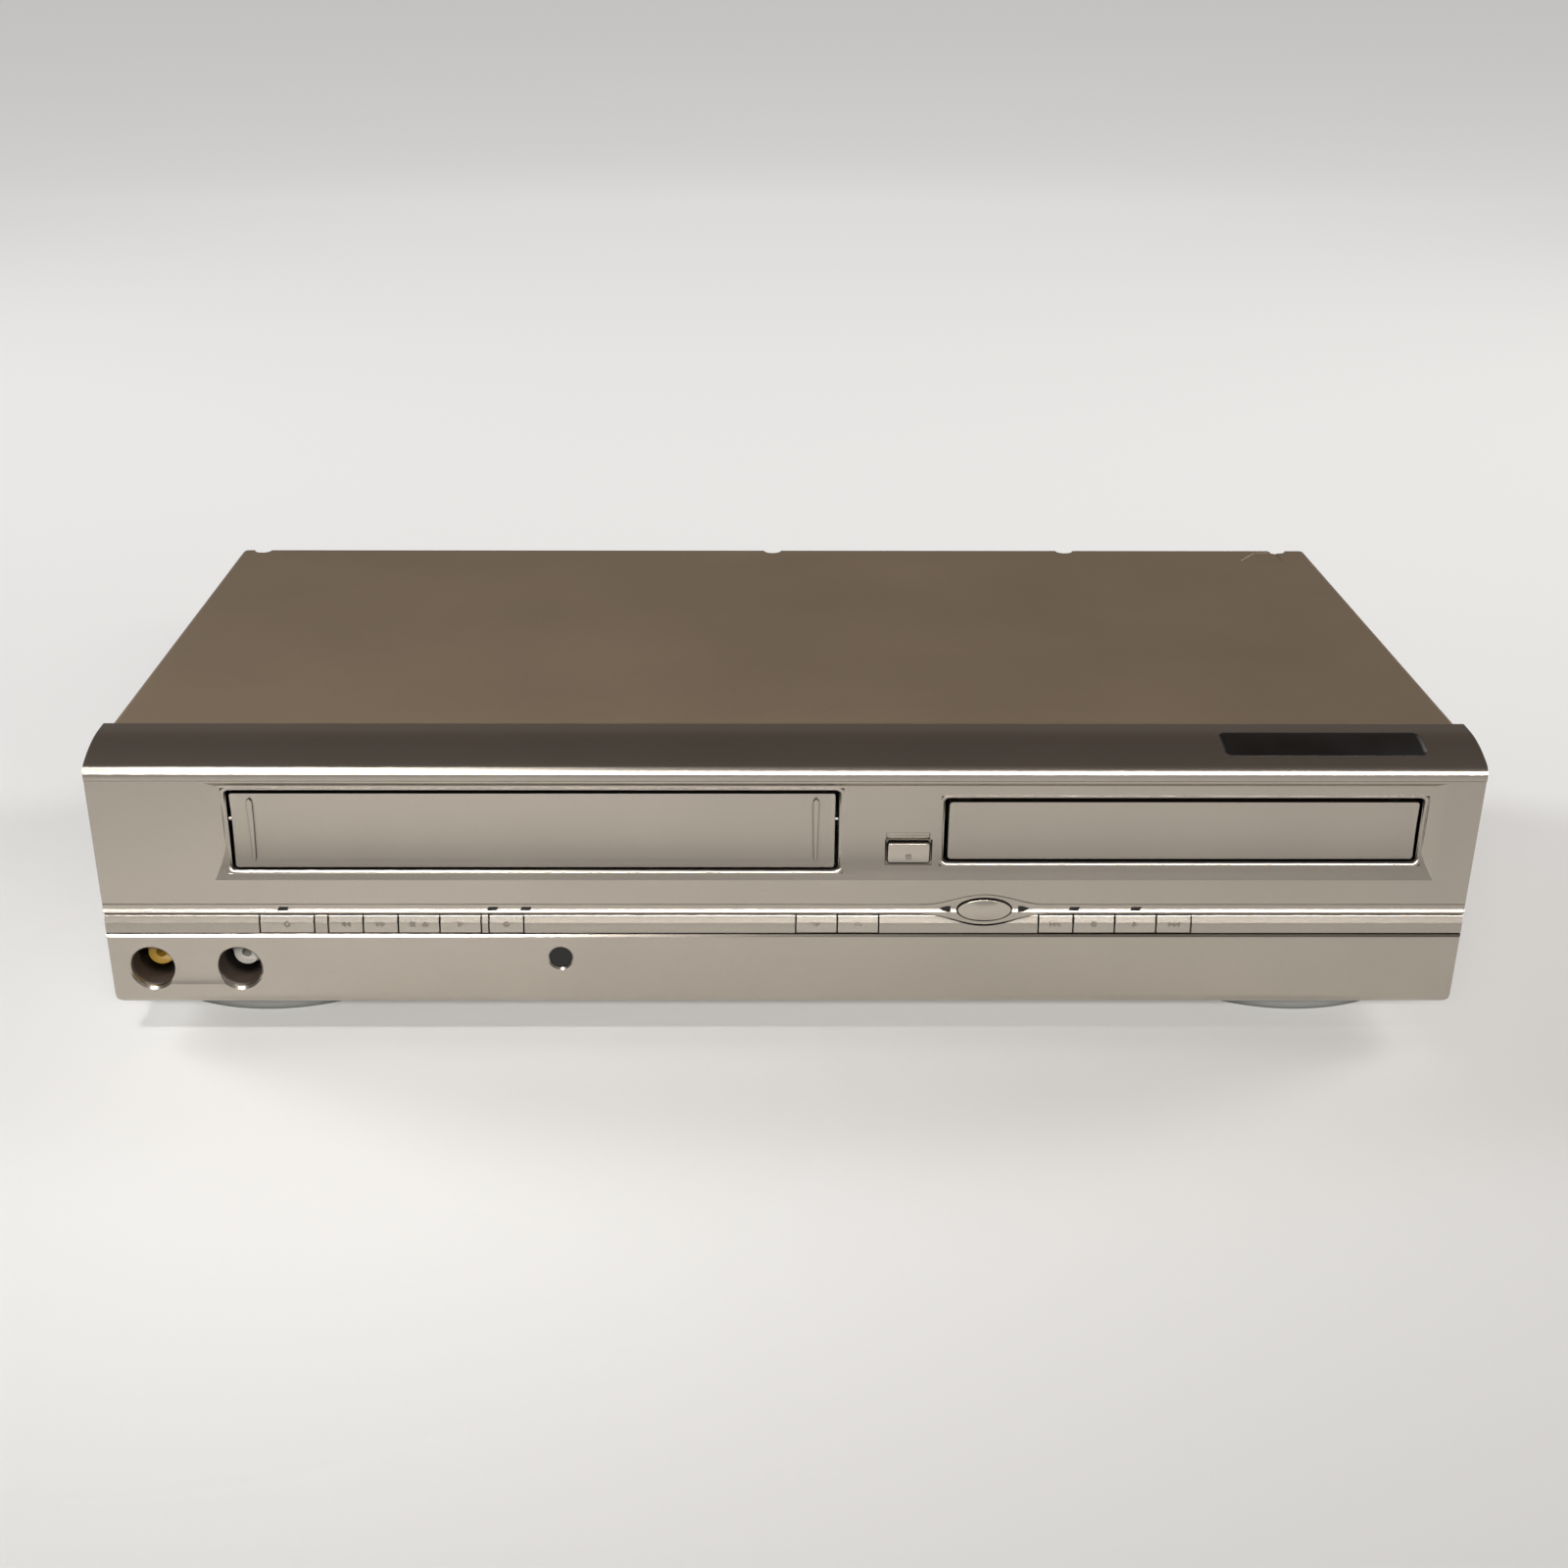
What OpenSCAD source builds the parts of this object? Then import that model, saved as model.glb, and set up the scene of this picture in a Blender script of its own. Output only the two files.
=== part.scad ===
// Disc and tape combo player: steel case, moulded front panel, tape deck on the left
// and disc loader on the right.
// The origin is at the middle of the footprint, on the surface the feet stand on.
// X runs to the right, Y runs from the front to the back, Z runs up.

/* [Case] */
// Width of the front panel
body_w = 435; // [425:1:450]
// Depth from the front panel to the tips of the rear sockets
body_d = 232; // [228:1:245]
// Height from the floor to the top of the cover
body_h = 99.3; // [99:0.1:104]
// How much narrower the steel cover is than the front panel
cover_inset = 4; // [2:0.5:8]
// Thickness of the steel sheet
sheet_t = 1; // [0.8:0.1:1.2]
// Outer radius of the cover's bends
bend_r = 2.5; // [2:0.5:4]
// How far the sockets stand out past the cover
socket_reach = 6.4; // [5:0.1:8]

/* [Feet] */
// Height of the feet
foot_h = 13; // [10:0.5:13]
// From the end of the panel to the centre of a foot
foot_in = 44.2; // [38:0.1:68]
// From the front face to the centre of a front foot
front_foot_d = 39; // [38:1:60]
// Half the width of a front foot
front_foot_w2 = 33; // [25:1:35]
// Radius of a front foot's long sides
front_foot_r = 52; // [45:1:70]
// Depth of a front foot from front to back
front_foot_d2 = 40; // [30:1:44]
// Radius of a rear foot
rear_foot_r = 12; // [8:1:16]

/* [Front panel] */
// Depth of the front panel from its face to the cover
panel_d = 27.5; // [26:0.5:32]
// Thickness of the plain walls
wall = 2.5; // [2:0.1:3]
// Thickness of the front wall, which holds the hollow
face_wall = 5.4; // [5:0.1:6]
// Radius of the large blend from the top to the nose
nose_r = 50; // [45:1:60]
// Radius of the nose itself
edge_r = 4; // [3:0.5:5]
// From the top down to the crease that ends the nose
crease_drop = 8.5; // [8.1:0.1:9.3]
// How far the face is set back under the crease
crease_d = 0.4; // [0.2:0.1:0.6]
// How far the lower panel stands out past the face
panel_lead = 1.6; // [1:0.1:2]
// Radius of the lower front edge
toe_r = 3.5; // [2:0.5:4]
// Radius of the upright outer corners
corner_r = 2; // [1:0.5:3]

/* [Hollow around the doors] */
// How far the hollow reaches past the tape opening
hollow_reach_left = 5.5; // [5:0.1:8]
// How far the hollow reaches past the disc opening
hollow_reach_right = 5.7; // [5:0.1:8]
// Depth of the hollow at its deepest
hollow_d = 3; // [2:0.1:3.2]
// Radius of the hollow's concave floor
hollow_r = 73; // [70:1:90]
// From the crease down to the deepest line of the hollow
hollow_drop = 14.8; // [14:0.1:15.8]
// Width of the slanted left end
hollow_left = 5; // [3:0.5:6]
// Width of the slanted right end
hollow_right = 6; // [3:0.5:7]

/* [Tape opening] */
// Room at each side of the cassette in the tape opening
tape_margin = 1.95; // [1.75:0.05:2.4]
// Room above the cassette in the tape opening
tape_headroom = 1.2; // [1.2:0.1:2]
// From the crease down to the tape opening
tape_drop = 4.6; // [4.2:0.1:4.8]
// Gap above and below the doors
door_gap = 0.9; // [0.6:0.1:1.2]
// Gap at the sides of the doors
side_gap = 1.4; // [1:0.1:1.6]
// Width of the flared edge round the openings
mouth_w = 1.3; // [0.8:0.1:1.5]
// Corner radius of the openings
mouth_r = 1.2; // [0.8:0.1:1.5]
// From the back of the front wall to the door's hinge line
hinge_back = 2.6; // [2.6:0.1:3]
// Height of the door's hinge line above the crease
hinge_rise = 1.2; // [1:0.1:1.4]
// Radius of the hinge pins
hinge_r = 1.5; // [1:0.1:1.6]

/* [Disc opening] */
// Width of the disc opening
disc_w = 150; // [149:0.5:152]
// Height of the disc opening
disc_h = 21; // [20.5:0.1:21.5]
// From the crease down to the disc opening
disc_drop = 7.3; // [6.8:0.1:7.8]

/* [Keys] */
// From the tape opening down to the key strip
strip_drop = 15.7; // [15.5:0.1:16]
// Height of the key strip
strip_h = 5.9; // [5.4:0.1:6.3]
// From the tape opening's left edge to the standby key
standby_in = 7; // [5:0.5:9]
// Width of the standby key
standby_w = 17.5; // [14:0.5:18]
// From the tape opening's left edge to the four tape keys
tape_keys_in = 28.9; // [28:0.1:30]
// From the tape opening's left edge to the record key
record_in = 80.3; // [80:0.1:82]
// From the channel keys' left edge to the tape opening's right edge
channel_in = 13.3; // [9:0.1:17]
// From the disc opening's left edge to the four disc keys
disc_keys_in = 31.4; // [30.5:0.1:33]
// Width of a narrow key
narrow_w = 11.2; // [10:0.1:11.4]
// Width of a wide key
wide_w = 13.3; // [12:0.1:13.5]
// Gap around and between the keys
key_gap = 0.5; // [0.4:0.1:0.7]
// How far a key travels
key_travel = 0.8; // [0.5:0.1:0.9]
// From the disc opening's left edge to the middle of the source key
source_in = 13.8; // [12:0.1:15]
// Height of the source key's middle above the key strip
source_rise = 2.2; // [1.7:0.1:2.5]
// Width of the oval source key
source_w = 17; // [15:0.5:18]
// Height of the oval source key
source_h = 7.2; // [6.5:0.1:7.6]
// Land between the open/close key and the disc opening
open_land = 4.5; // [4:0.5:6]
// Width of the open/close key
open_w = 13; // [11:0.5:14]
// How far the open/close key starts below the disc opening
open_drop = 0.1; // [0:0.1:1]
// Height of the open/close key
open_h = 6.4; // [5:0.1:7]

/* [Jacks and window] */
// From the panel's left end to the middle of the video well
video_in = 13.8; // [12.5:0.1:15]
// Distance between the middles of the two wells
jack_pitch = 28; // [24:0.5:29]
// Height of the jacks' axes above the underside of the case
jack_rise = 13.3; // [12:0.1:14]
// Radius of the jack wells
well_r = 7.1; // [6.6:0.1:7.4]
// Radius of a phono jack's barrel
phono_r = 4.15; // [4:0.05:4.3]
// Depth of the front jacks' tips behind the face
jack_tip_d = 9.5; // [7:0.5:11]
// From the tape opening's left edge to the infrared window
window_in = 103; // [99:0.5:115]
// Height of the infrared window above the underside of the case
window_rise = 16.8; // [15:0.1:18]
// Radius of the infrared window
window_r = 3.6; // [3:0.1:4]

/* [Tape deck] */
// Width of the tape cassette the deck takes
cassette_w = 188; // [187:0.5:188.5]
// Thickness of the tape cassette
cassette_h = 25; // [24:0.5:25]
// How far the carriage carries the cassette back
load_travel = 44; // [40:1:45]
// Height above the deck at which the lowered carriage rests
seat_h = 6; // [6:0.5:10]
// Radius of the head drum
drum_r = 31; // [30:0.5:31]
// Tilt of the head drum
drum_tilt = 6; // [4:0.5:6]
// Radius of the reel tables
reel_r = 17; // [15:0.5:18]
// Distance between the two reels
reel_pitch = 92; // [90:1:94]

/* [Disc loader] */
// Radius of the disc well in the tray
disc_well_r = 60.5; // [60:0.1:61]
// Width of the tray
tray_w = 128; // [126:1:128]
// Length of the tray
tray_l = 158; // [156:1:160]
// How far the tray slides out
tray_travel = 140; // [120:1:140]
// Module of the tray rack and gear
tooth_m = 1; // [1:0.1:1.1]
// Teeth on the tray gear
gear_teeth = 20; // [18:1:20]
// Angle through which the traverse frame tips up to meet the disc
lift_angle = 5; // [4.9:0.1:5.5]
// Travel of the pickup sled
sled_travel = 34; // [30:1:34]

/* [Hidden] */
$fn = 72;
eps = 0.01;

// --- places shared by several pieces ---
face_y = -body_d / 2 + panel_lead;
cover_w = body_w - cover_inset;
cover_back = body_d / 2 - socket_reach;
cover_front = face_y + panel_d;
floor_z = foot_h + sheet_t;
running = 0.05;
clear = 0.3;
rear_t = 1.5;
rear_y = cover_back - 2 - rear_t;
rear_d = rear_y - face_y;
hinge_d = face_wall + hinge_back;
phono_len = 8;
collar_t = 0.3;
hole_gap = 0.3;

// Heights down from the crease, and up from the underside of the case.
crease_z = body_h - crease_drop;
hollow_z = crease_z - hollow_drop;
hinge_z = crease_z + hinge_rise;
tape_z1 = crease_z - tape_drop;
tape_z0 = tape_z1 - cassette_h - tape_headroom;
disc_z1 = crease_z - disc_drop;
disc_z0 = disc_z1 - disc_h;
strip_z1 = tape_z0 - strip_drop;
strip_z0 = strip_z1 - strip_h;
source_z = strip_z1 + source_rise;
open_z = disc_z0 - open_drop;
jack_z = foot_h + jack_rise;
window_z = foot_h + window_rise;

// The width that the openings and the key between them leave over is spread over three lands.
tape_w = cassette_w + 2 * tape_margin;
open_window_w = open_w + 2 * key_gap;
land_w = [42.5, 19.1, 17.5];
spare_w = body_w - tape_w - open_window_w - disc_w;
function land(i) = spare_w * land_w[i] / (land_w[0] + land_w[1] + land_w[2]);
tape_x0 = -body_w / 2 + land(0);
tape_x1 = tape_x0 + tape_w;
deck_x = (tape_x0 + tape_x1) / 2;
disc_x0 = tape_x1 + open_window_w + land(1);
disc_x1 = disc_x0 + disc_w;
disc_mid = (disc_x0 + disc_x1) / 2;
hollow_x0 = tape_x0 - hollow_reach_left;
hollow_x1 = disc_x1 + hollow_reach_right;
standby_x = tape_x0 + standby_in;
tape_keys_x = tape_x0 + tape_keys_in;
record_x = tape_x0 + record_in;
window_x = tape_x0 + window_in;
channel_x = tape_x1 - channel_in;
open_x = disc_x0 - open_land - open_w;
source_x = disc_x0 + source_in;
disc_keys_x = disc_x0 + disc_keys_in;
video_x = -body_w / 2 + video_in;
audio_x = video_x + jack_pitch;
foot_x = body_w / 2 - foot_in;

// Y of a point at depth d behind the front face.
function back(d) = face_y + d;

// Points along an arc about c, from angle a0 to a1 in n steps.
function arc(c, r, a0, a1, n) =
  [for (i = [0:n]) c + r * [cos(a0 + (a1 - a0) * i / n), sin(a0 + (a1 - a0) * i / n)]];

// Points round a rectangle with rounded corners.
function rounded(lo, hi, r) = concat(
  arc(hi - [r, r], r, 0, 90, 5), arc([lo.x + r, hi.y - r], r, 90, 180, 5),
  arc(lo + [r, r], r, 180, 270, 5), arc([hi.x - r, lo.y + r], r, 270, 360, 5));

module box(lo, hi) {
  translate(lo) cube(hi - lo);
}

// A box centred on x, between two depths and two heights.
module block(x, w2, d0, d1, z0, z1) {
  box([x - w2, back(d0), z0], [x + w2, back(d1), z1]);
}

// Lower X of a piece of thickness t that stands at distance r from c, on side s.
function side_x(c, s, r, t) = s > 0 ? c + r : c - r - t;

module side_block(c, s, r, t, d0, d1, z0, z1) {
  block(side_x(c, s, r, t) + t / 2, t / 2, d0, d1, z0, z1);
}

// An outline drawn as (y, z), drawn out along X from x0 to x1.
module along_x(x0, x1) {
  translate([x0, 0, 0]) rotate([90, 0, 90]) linear_extrude(x1 - x0) children();
}

// An outline drawn as (x, z), drawn out along Y from y0 to y1.
module along_y(y0, y1) {
  translate([0, y1, 0]) rotate([90, 0, 0]) linear_extrude(y1 - y0) children();
}

// A round bar along X, Y or Z between two coordinates.
module rod_x(x0, x1, y, z, r) {
  translate([x0, y, z]) rotate([0, 90, 0]) cylinder(h = x1 - x0, r = r);
}
module rod_y(y0, y1, x, z, r) {
  translate([x, y1, z]) rotate([90, 0, 0]) cylinder(h = y1 - y0, r = r);
}
module rod_z(z0, z1, p, r) {
  translate([p.x, p.y, z0]) cylinder(h = z1 - z0, r = r);
}

// --- steel case ---
screw_x = [-cover_w / 2 + 8.8, -0.7, cover_w / 2 - 98.1, cover_w / 2 - 11.9];
notch_r = 3.4;
vent_n = 16;
vent_pitch = 6;
vent_w = 3;
vent_h = 18;
vent_z = 44;
vent_back = 112;
skirt_z = floor_z + 1;

module cover_outline(w, top, r) {
  translate([-w / 2, skirt_z]) square([w, top - r - skirt_z]);
  translate([-w / 2 + r, top - r - eps]) square([w - 2 * r, r + eps]);
  for (s = [-1, 1]) translate([s * (w / 2 - r), top - r]) circle(r);
}

// U-shaped steel cover over the top and both sides.
module top_cover() {
  color("#6e665a") difference() {
    along_y(cover_front, cover_back) difference() {
      cover_outline(cover_w, body_h, bend_r);
      translate([0, -sheet_t]) cover_outline(cover_w - 2 * sheet_t, body_h, bend_r - sheet_t);
    }
    for (x = screw_x)
      rod_z(body_h - 2 * sheet_t, body_h + sheet_t, [x, cover_back], notch_r);
    side_screw_holes();
    // vent slots in both sides
    for (i = [0:vent_n - 1])
      translate([-cover_w, cover_back - vent_back + i * vent_pitch, vent_z])
        cube([2 * cover_w, vent_w, vent_h]);
    // shallow pressed mark at the rear right corner
    translate([cover_w / 2 - mark_in, cover_back - mark_back, body_h - mark_deep])
      linear_extrude(1) polygon([[0, -mark_l], [0, 0], [-mark_w / 2, 0], [-mark_w, -mark_l]]);
  }
}

mark_in = 12.5;
mark_back = 2;
mark_w = 17;
mark_l = 12;
mark_deep = 0.3;
chassis_w = cover_w - 2 * sheet_t;
flange_h = 14;
front_flange_h = 10;
slot_n = 12;
slot_pitch = 8;
slot_group_w = (slot_n - 1) * slot_pitch + vent_w;
slot_l = 40;
slot_d = 90;

module side_screw_holes() {
  for (d = side_screw_d) rod_x(-body_w, body_w, back(d), side_screw_z, screw_hole_r);
}

// Pressed steel floor with raised edges and vent slots.
module bottom_chassis() {
  color("#b9b9b6") difference() {
    union() {
      box([-chassis_w / 2, cover_front, foot_h], [chassis_w / 2, rear_y, floor_z]);
      for (s = [-1, 1])
        translate([s * (chassis_w / 2 - sheet_t / 2), 0, 0])
          box([-sheet_t / 2, cover_front, foot_h],
            [sheet_t / 2, rear_y, floor_z + flange_h]);
      box([-chassis_w / 2, cover_front, foot_h],
        [chassis_w / 2, cover_front + sheet_t, floor_z + front_flange_h]);
    }
    side_screw_holes();
    for (x = [deck_x - slot_group_w / 2, disc_mid - slot_group_w / 2 - 30], i = [0:slot_n - 1])
      translate([x + i * slot_pitch, back(slot_d), foot_h - 1]) cube([vent_w, slot_l, sheet_t + 2]);
  }
}

// Rear panel that closes the back and holds the sockets.
end_in = 18.5;
jack_step = 18;
tuner_x = -chassis_w / 2 + end_in;
gland_x = chassis_w / 2 - end_in;
av_x = [for (i = [0:2]) tuner_x + 2 * jack_step + i * jack_step];
dvd_x = [for (i = [4:-1:0]) gland_x - 28 - i * jack_step];
dvd_z = floor_z + 18;
av_z = [dvd_z + jack_step, dvd_z];
tuner_z = [floor_z + 22, floor_z + 44];
f_r = 4.75;
gland_z = floor_z + 14;
gland_r = 5.5;
rear_fold = 10;
rear_vent_n = 20;
rear_vent_h = 18;
rear_vent_top = 15.3;

module socket_hole(x, z, r) {
  rod_y(rear_y - 1, rear_y + rear_t + 1, x, z, r + collar_t + hole_gap);
}

module rear_panel() {
  color("#8f8f8c") difference() {
    union() {
      box([-chassis_w / 2, rear_y, foot_h], [chassis_w / 2, rear_y + rear_t, skirt_z + 1]);
      along_y(rear_y, rear_y + rear_t) cover_outline(chassis_w, body_h - sheet_t, bend_r);
      // folded top edge that the cover rests on
      box([-chassis_w / 2 + 2 * bend_r, rear_y - rear_fold, body_h - 2 * sheet_t],
        [chassis_w / 2 - 2 * bend_r, rear_y + eps, body_h - sheet_t]);
    }
    for (x = av_x, z = av_z) socket_hole(x, z, phono_r);
    for (x = dvd_x) socket_hole(x, dvd_z, phono_r);
    for (z = tuner_z) socket_hole(tuner_x, z, f_r);
    rod_y(rear_y - 1, rear_y + rear_t + 1, gland_x, gland_z, gland_r);
    for (x = screw_x) rod_y(rear_y - 1, rear_y + rear_t + 1, x, screw_z, screw_hole_r);
    for (i = [0:rear_vent_n])
      translate([(i - rear_vent_n / 2) * vent_pitch, rear_y - 1, body_h - rear_vent_top - rear_vent_h])
        cube([vent_w, rear_t + 2, rear_vent_h]);
  }
}

screw_z = body_h - 8;
side_screw_d = [60, rear_d - 20.5];
side_screw_z = floor_z + 7;
screw_hole_r = 1.6;

module screw(head_r, head_h, shank_r, shank_l) {
  // cross recess in a domed head, shank pointing down
  difference() {
    intersection() {
      cylinder(h = head_h, r = head_r);
      translate([0, 0, head_h - head_r * 1.6]) sphere(head_r * 1.6);
    }
    for (a = [0, 90]) rotate(a)
      translate([-head_r * 0.55, -0.35, head_h * 0.4]) cube([head_r * 1.1, 0.7, head_h]);
  }
  translate([0, 0, -shank_l]) cylinder(h = shank_l + eps, r = shank_r);
}

module cover_screws() {
  color("#3c3c3c") {
    for (x = screw_x)
      translate([x, rear_y + rear_t, screw_z]) rotate([-90, 0, 0]) screw(3.2, 1.6, 1.4, 4);
    for (s = [-1, 1], d = side_screw_d)
      translate([s * cover_w / 2, back(d), side_screw_z])
        rotate([0, s * 90, 0]) screw(3.4, 1.5, 1.4, 3);
  }
}

// --- feet ---
module front_foot_outline() {
  off = front_foot_r - front_foot_d2 / 2;
  intersection() {
    circle(front_foot_w2);
    translate([0, off]) circle(front_foot_r);
    translate([0, -off]) circle(front_foot_r);
  }
}

module front_feet() {
  color("#9aa0a2") for (s = [-1, 1])
    translate([s * foot_x, back(front_foot_d), 0]) linear_extrude(foot_h)
      front_foot_outline();
}

module rear_feet() {
  color("#55585a") for (s = [-1, 1])
    translate([s * foot_x, rear_y - 2 * rear_foot_r, 0])
      rotate_extrude() polygon([
        [0, 0], [rear_foot_r - 2, 0], [rear_foot_r - 1, 1],
        [rear_foot_r, foot_h - 2], [rear_foot_r, foot_h], [0, foot_h]]);
}

// --- front panel ---
// The nose is two tangent arcs: the large one off the top, and the small one onto the face.
edge_gap = 0.832;
nose_c = [edge_r + sqrt(pow(nose_r - edge_r, 2) - pow(nose_r - crease_drop + edge_gap, 2)), body_h - nose_r];
edge_c = [edge_r, nose_c.y + sqrt(pow(nose_r - edge_r, 2) - pow(nose_c.x - edge_r, 2))];
nose_a = atan2(edge_c.y - nose_c.y, edge_c.x - nose_c.x);
line_z = strip_z1 + 3.9;
band_z0 = strip_z1 + 0.7;
groove_d = 2;
ledge_d = crease_d - 0.5;
line_w = 0.4;
line_d = 0.3;
strip_edge_r = 0.6;
strip_foot_d = -0.3;
key_break_z = strip_z0 + 3.3;
panel_top = strip_z0 - 0.5;
panel_y0 = -1;
toe_c = [toe_r - panel_lead, foot_h + toe_r];

// The strip's outline from its top groove to its lower groove, as (depth, height).
function strip_profile(top, bottom) = concat(
  arc([groove_d - 0.5, top - strip_edge_r], strip_edge_r, 90, 165, 4),
  [[0.15, key_break_z], [strip_foot_d, bottom]]);

function panel_profile() = concat(
  [[panel_d, foot_h], [panel_d, body_h]],
  arc(nose_c, nose_r, 90, nose_a, 10),
  arc(edge_c, edge_r, nose_a, 180, 8),
  [[0, crease_z], [crease_d, crease_z - crease_d],
  [crease_d, band_z0 + 1.5], [ledge_d, band_z0 + 0.7], [ledge_d, band_z0 + 0.2],
  [ledge_d + 0.3, band_z0], [groove_d, band_z0], [groove_d, strip_z1]],
  strip_profile(strip_z1, strip_z0),
  [[0.9, strip_z0], [0.9, panel_top]],
  [[panel_y0 + 0.7, panel_top], [panel_y0, panel_top - 0.7]],
  arc(toe_c, toe_r, 180, 270, 6));

function cavity_profile() = concat(
  [[panel_d + 1, foot_h + wall], [panel_d + 1, body_h - wall]],
  arc(nose_c, nose_r - wall, 90, acos((face_wall - nose_c.x) / (nose_r - wall)), 6),
  [[face_wall, foot_h + wall]]);

// A soft hump of height h over half-width w, for the eye round the source key.
function hump(x, w, h) = abs(x) > w ? 0 : h * (1 + cos(180 * x / w)) / 2;

eye_w = 19.5;
eye_up = 3.4;
eye_down = 3.6;
eye_n = 20;
eye_x = [for (i = [0:eye_n]) -eye_w + 2 * eye_w * i / eye_n];

// A height drawn across the panel that swells by up to h at the source key.
function swell(z, h) = concat([[-body_w, z]], [for (x = eye_x) [source_x + x, z + hump(x, eye_w, h)]],
               [[body_w, z]]);
function backwards(points) = [for (i = [len(points) - 1:-1:0]) points[i]];

// Between the strip and the band, the eye's lower half dips into the strip.
module eye_outline(grow) {
  polygon(concat(
    [[source_x - eye_w, band_z0 + 0.2], [source_x + eye_w, band_z0 + 0.2]],
    [for (i = [eye_n:-1:0])
      [source_x + eye_x[i], band_z0 - hump(eye_x[i], eye_w, eye_down) - grow]]));
}

// The fine line above the band, which rises over the eye.
module line_outline() {
  polygon(concat(swell(line_z + line_w / 2, eye_up), backwards(swell(line_z - line_w / 2, eye_up))));
}

module oval(w, h) {
  polygon([for (i = [0:35]) [source_x + w / 2 * cos(i * 10), source_z + h / 2 * sin(i * 10)]]);
}

// The hollow's floor is one concave arc, so the doors follow it too.
module hollow_arc(proud) {
  translate([hollow_d - hollow_r - proud, hollow_z]) circle(hollow_r, $fn = 180);
}

hollow_top = crease_z - crease_d - 0.6;
hollow_bottom = hollow_z - sqrt(hollow_r * hollow_r - pow(hollow_r - hollow_d, 2)) - 0.5;

// Depth of the hollow's floor at height z.
function floor_depth(z) = hollow_d - hollow_r + sqrt(pow(hollow_r, 2) - pow(z - hollow_z, 2));

// Opening with a flared edge of width w, which follows the hollow's floor.
module mouth(lo, hi, w) {
  front = -4;
  // the flare runs on past the floor by this much
  past = 0.2;
  low = floor_depth(lo.y - w) - past;
  high = floor_depth(hi.y + w) - past;
  v = w + past;
  intersection() {
    translate([0, back(hollow_d - hollow_r), hollow_z]) rotate([0, 90, 0])
      rotate_extrude($fn = 180) polygon([
        [hollow_r + front, lo.x - v], [hollow_r - past, lo.x - v], [hollow_r + w, lo.x],
        [hollow_r + w, hi.x], [hollow_r - past, hi.x + v], [hollow_r + front, hi.x + v]]);
    translate([0, face_y, 0]) along_x(lo.x - 2 * w, hi.x + 2 * w) polygon([
      [front, lo.y - v], [low, lo.y - v], [low + v, lo.y],
      [high + v, hi.y], [high, hi.y + v], [front, hi.y + v]]);
  }
  along_y(back(front), back(face_wall + 1)) polygon(rounded(lo, hi, mouth_r));
}

module hollow() {
  deep = hollow_d + 1;
  intersection() {
    translate([0, face_y, 0]) along_x(hollow_x0, hollow_x1) intersection() {
      hollow_arc(0);
      polygon([[-5, hollow_bottom], [deep, hollow_bottom], [deep, hollow_top - 3.4],
          [crease_d, hollow_top], [-5, hollow_top]]);
    }
    translate([0, 0, hollow_bottom - 1]) linear_extrude(hollow_top - hollow_bottom + 2)
      polygon([[hollow_x0, back(-5)], [hollow_x0, back(crease_d)],
          [hollow_x0 + hollow_left, back(hollow_d)], [hollow_x0 + hollow_left, back(deep)],
          [hollow_x1 - hollow_right, back(deep)], [hollow_x1 - hollow_right, back(hollow_d)],
          [hollow_x1, back(crease_d)], [hollow_x1, back(-5)]]);
  }
}

// Keys on the strip, as [left edge, width].
keys = [
  [standby_x, standby_w],
  [tape_keys_x, narrow_w], [tape_keys_x + narrow_w, narrow_w],
  [tape_keys_x + 2 * narrow_w, wide_w], [tape_keys_x + 2 * narrow_w + wide_w, wide_w],
  [record_x, narrow_w],
  [channel_x, wide_w], [channel_x + wide_w, wide_w],
  [disc_keys_x, narrow_w], [disc_keys_x + narrow_w, wide_w],
  [disc_keys_x + narrow_w + wide_w, wide_w], [disc_keys_x + narrow_w + 2 * wide_w, narrow_w]
];
key_z0 = strip_z0 + 0.1;
key_z1 = strip_z1 - 0.1;
stem_d = 8.2;
stem_r = 1.8;
switch_d = stem_d + key_travel + 0.2;
board_d = 14;
board_t = 1.6;
board_screw_x = [standby_x + standby_w + 0.5, channel_x - 33.6, disc_mid + 15];
board_screw_z = foot_h + 14;
board_boss_r = 3;
lens_z = strip_z1 + 2.4;
lens_w = 3.5;
lens_h = 1;
lens_x = [standby_x + 8, record_x + 1.5, record_x + 12.1, disc_keys_x + 11.2, disc_keys_x + 30.9];
drop_x = 11.9;
lug_t = 2.7;
well_d = 18;
jack_board_d = panel_d - 2;
well_wall = 1.3;

// A slanted indicator slot.
module lens_outline(x, grow) {
  translate([x, lens_z]) polygon([
    [-lens_w / 2 - grow, -lens_h / 2 - grow], [lens_w / 2 - 0.5 + grow, -lens_h / 2 - grow],
    [lens_w / 2 + grow, lens_h / 2 + grow], [-lens_w / 2 + 0.5 - grow, lens_h / 2 + grow]]);
}

// A drop-shaped indicator pointing away from the source key.
module drop_outline(s, grow) {
  translate([source_x + s * drop_x, lens_z]) polygon([
    [s * (-1 - grow), -0.9 - grow], [s * 0.5, -0.8 - grow], [s * (2.6 + grow), -0.1],
    [s * (2.6 + grow), 0.1], [s * 0.5, 0.8 + grow], [s * (-1 - grow), 0.9 + grow]]);
}

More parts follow.
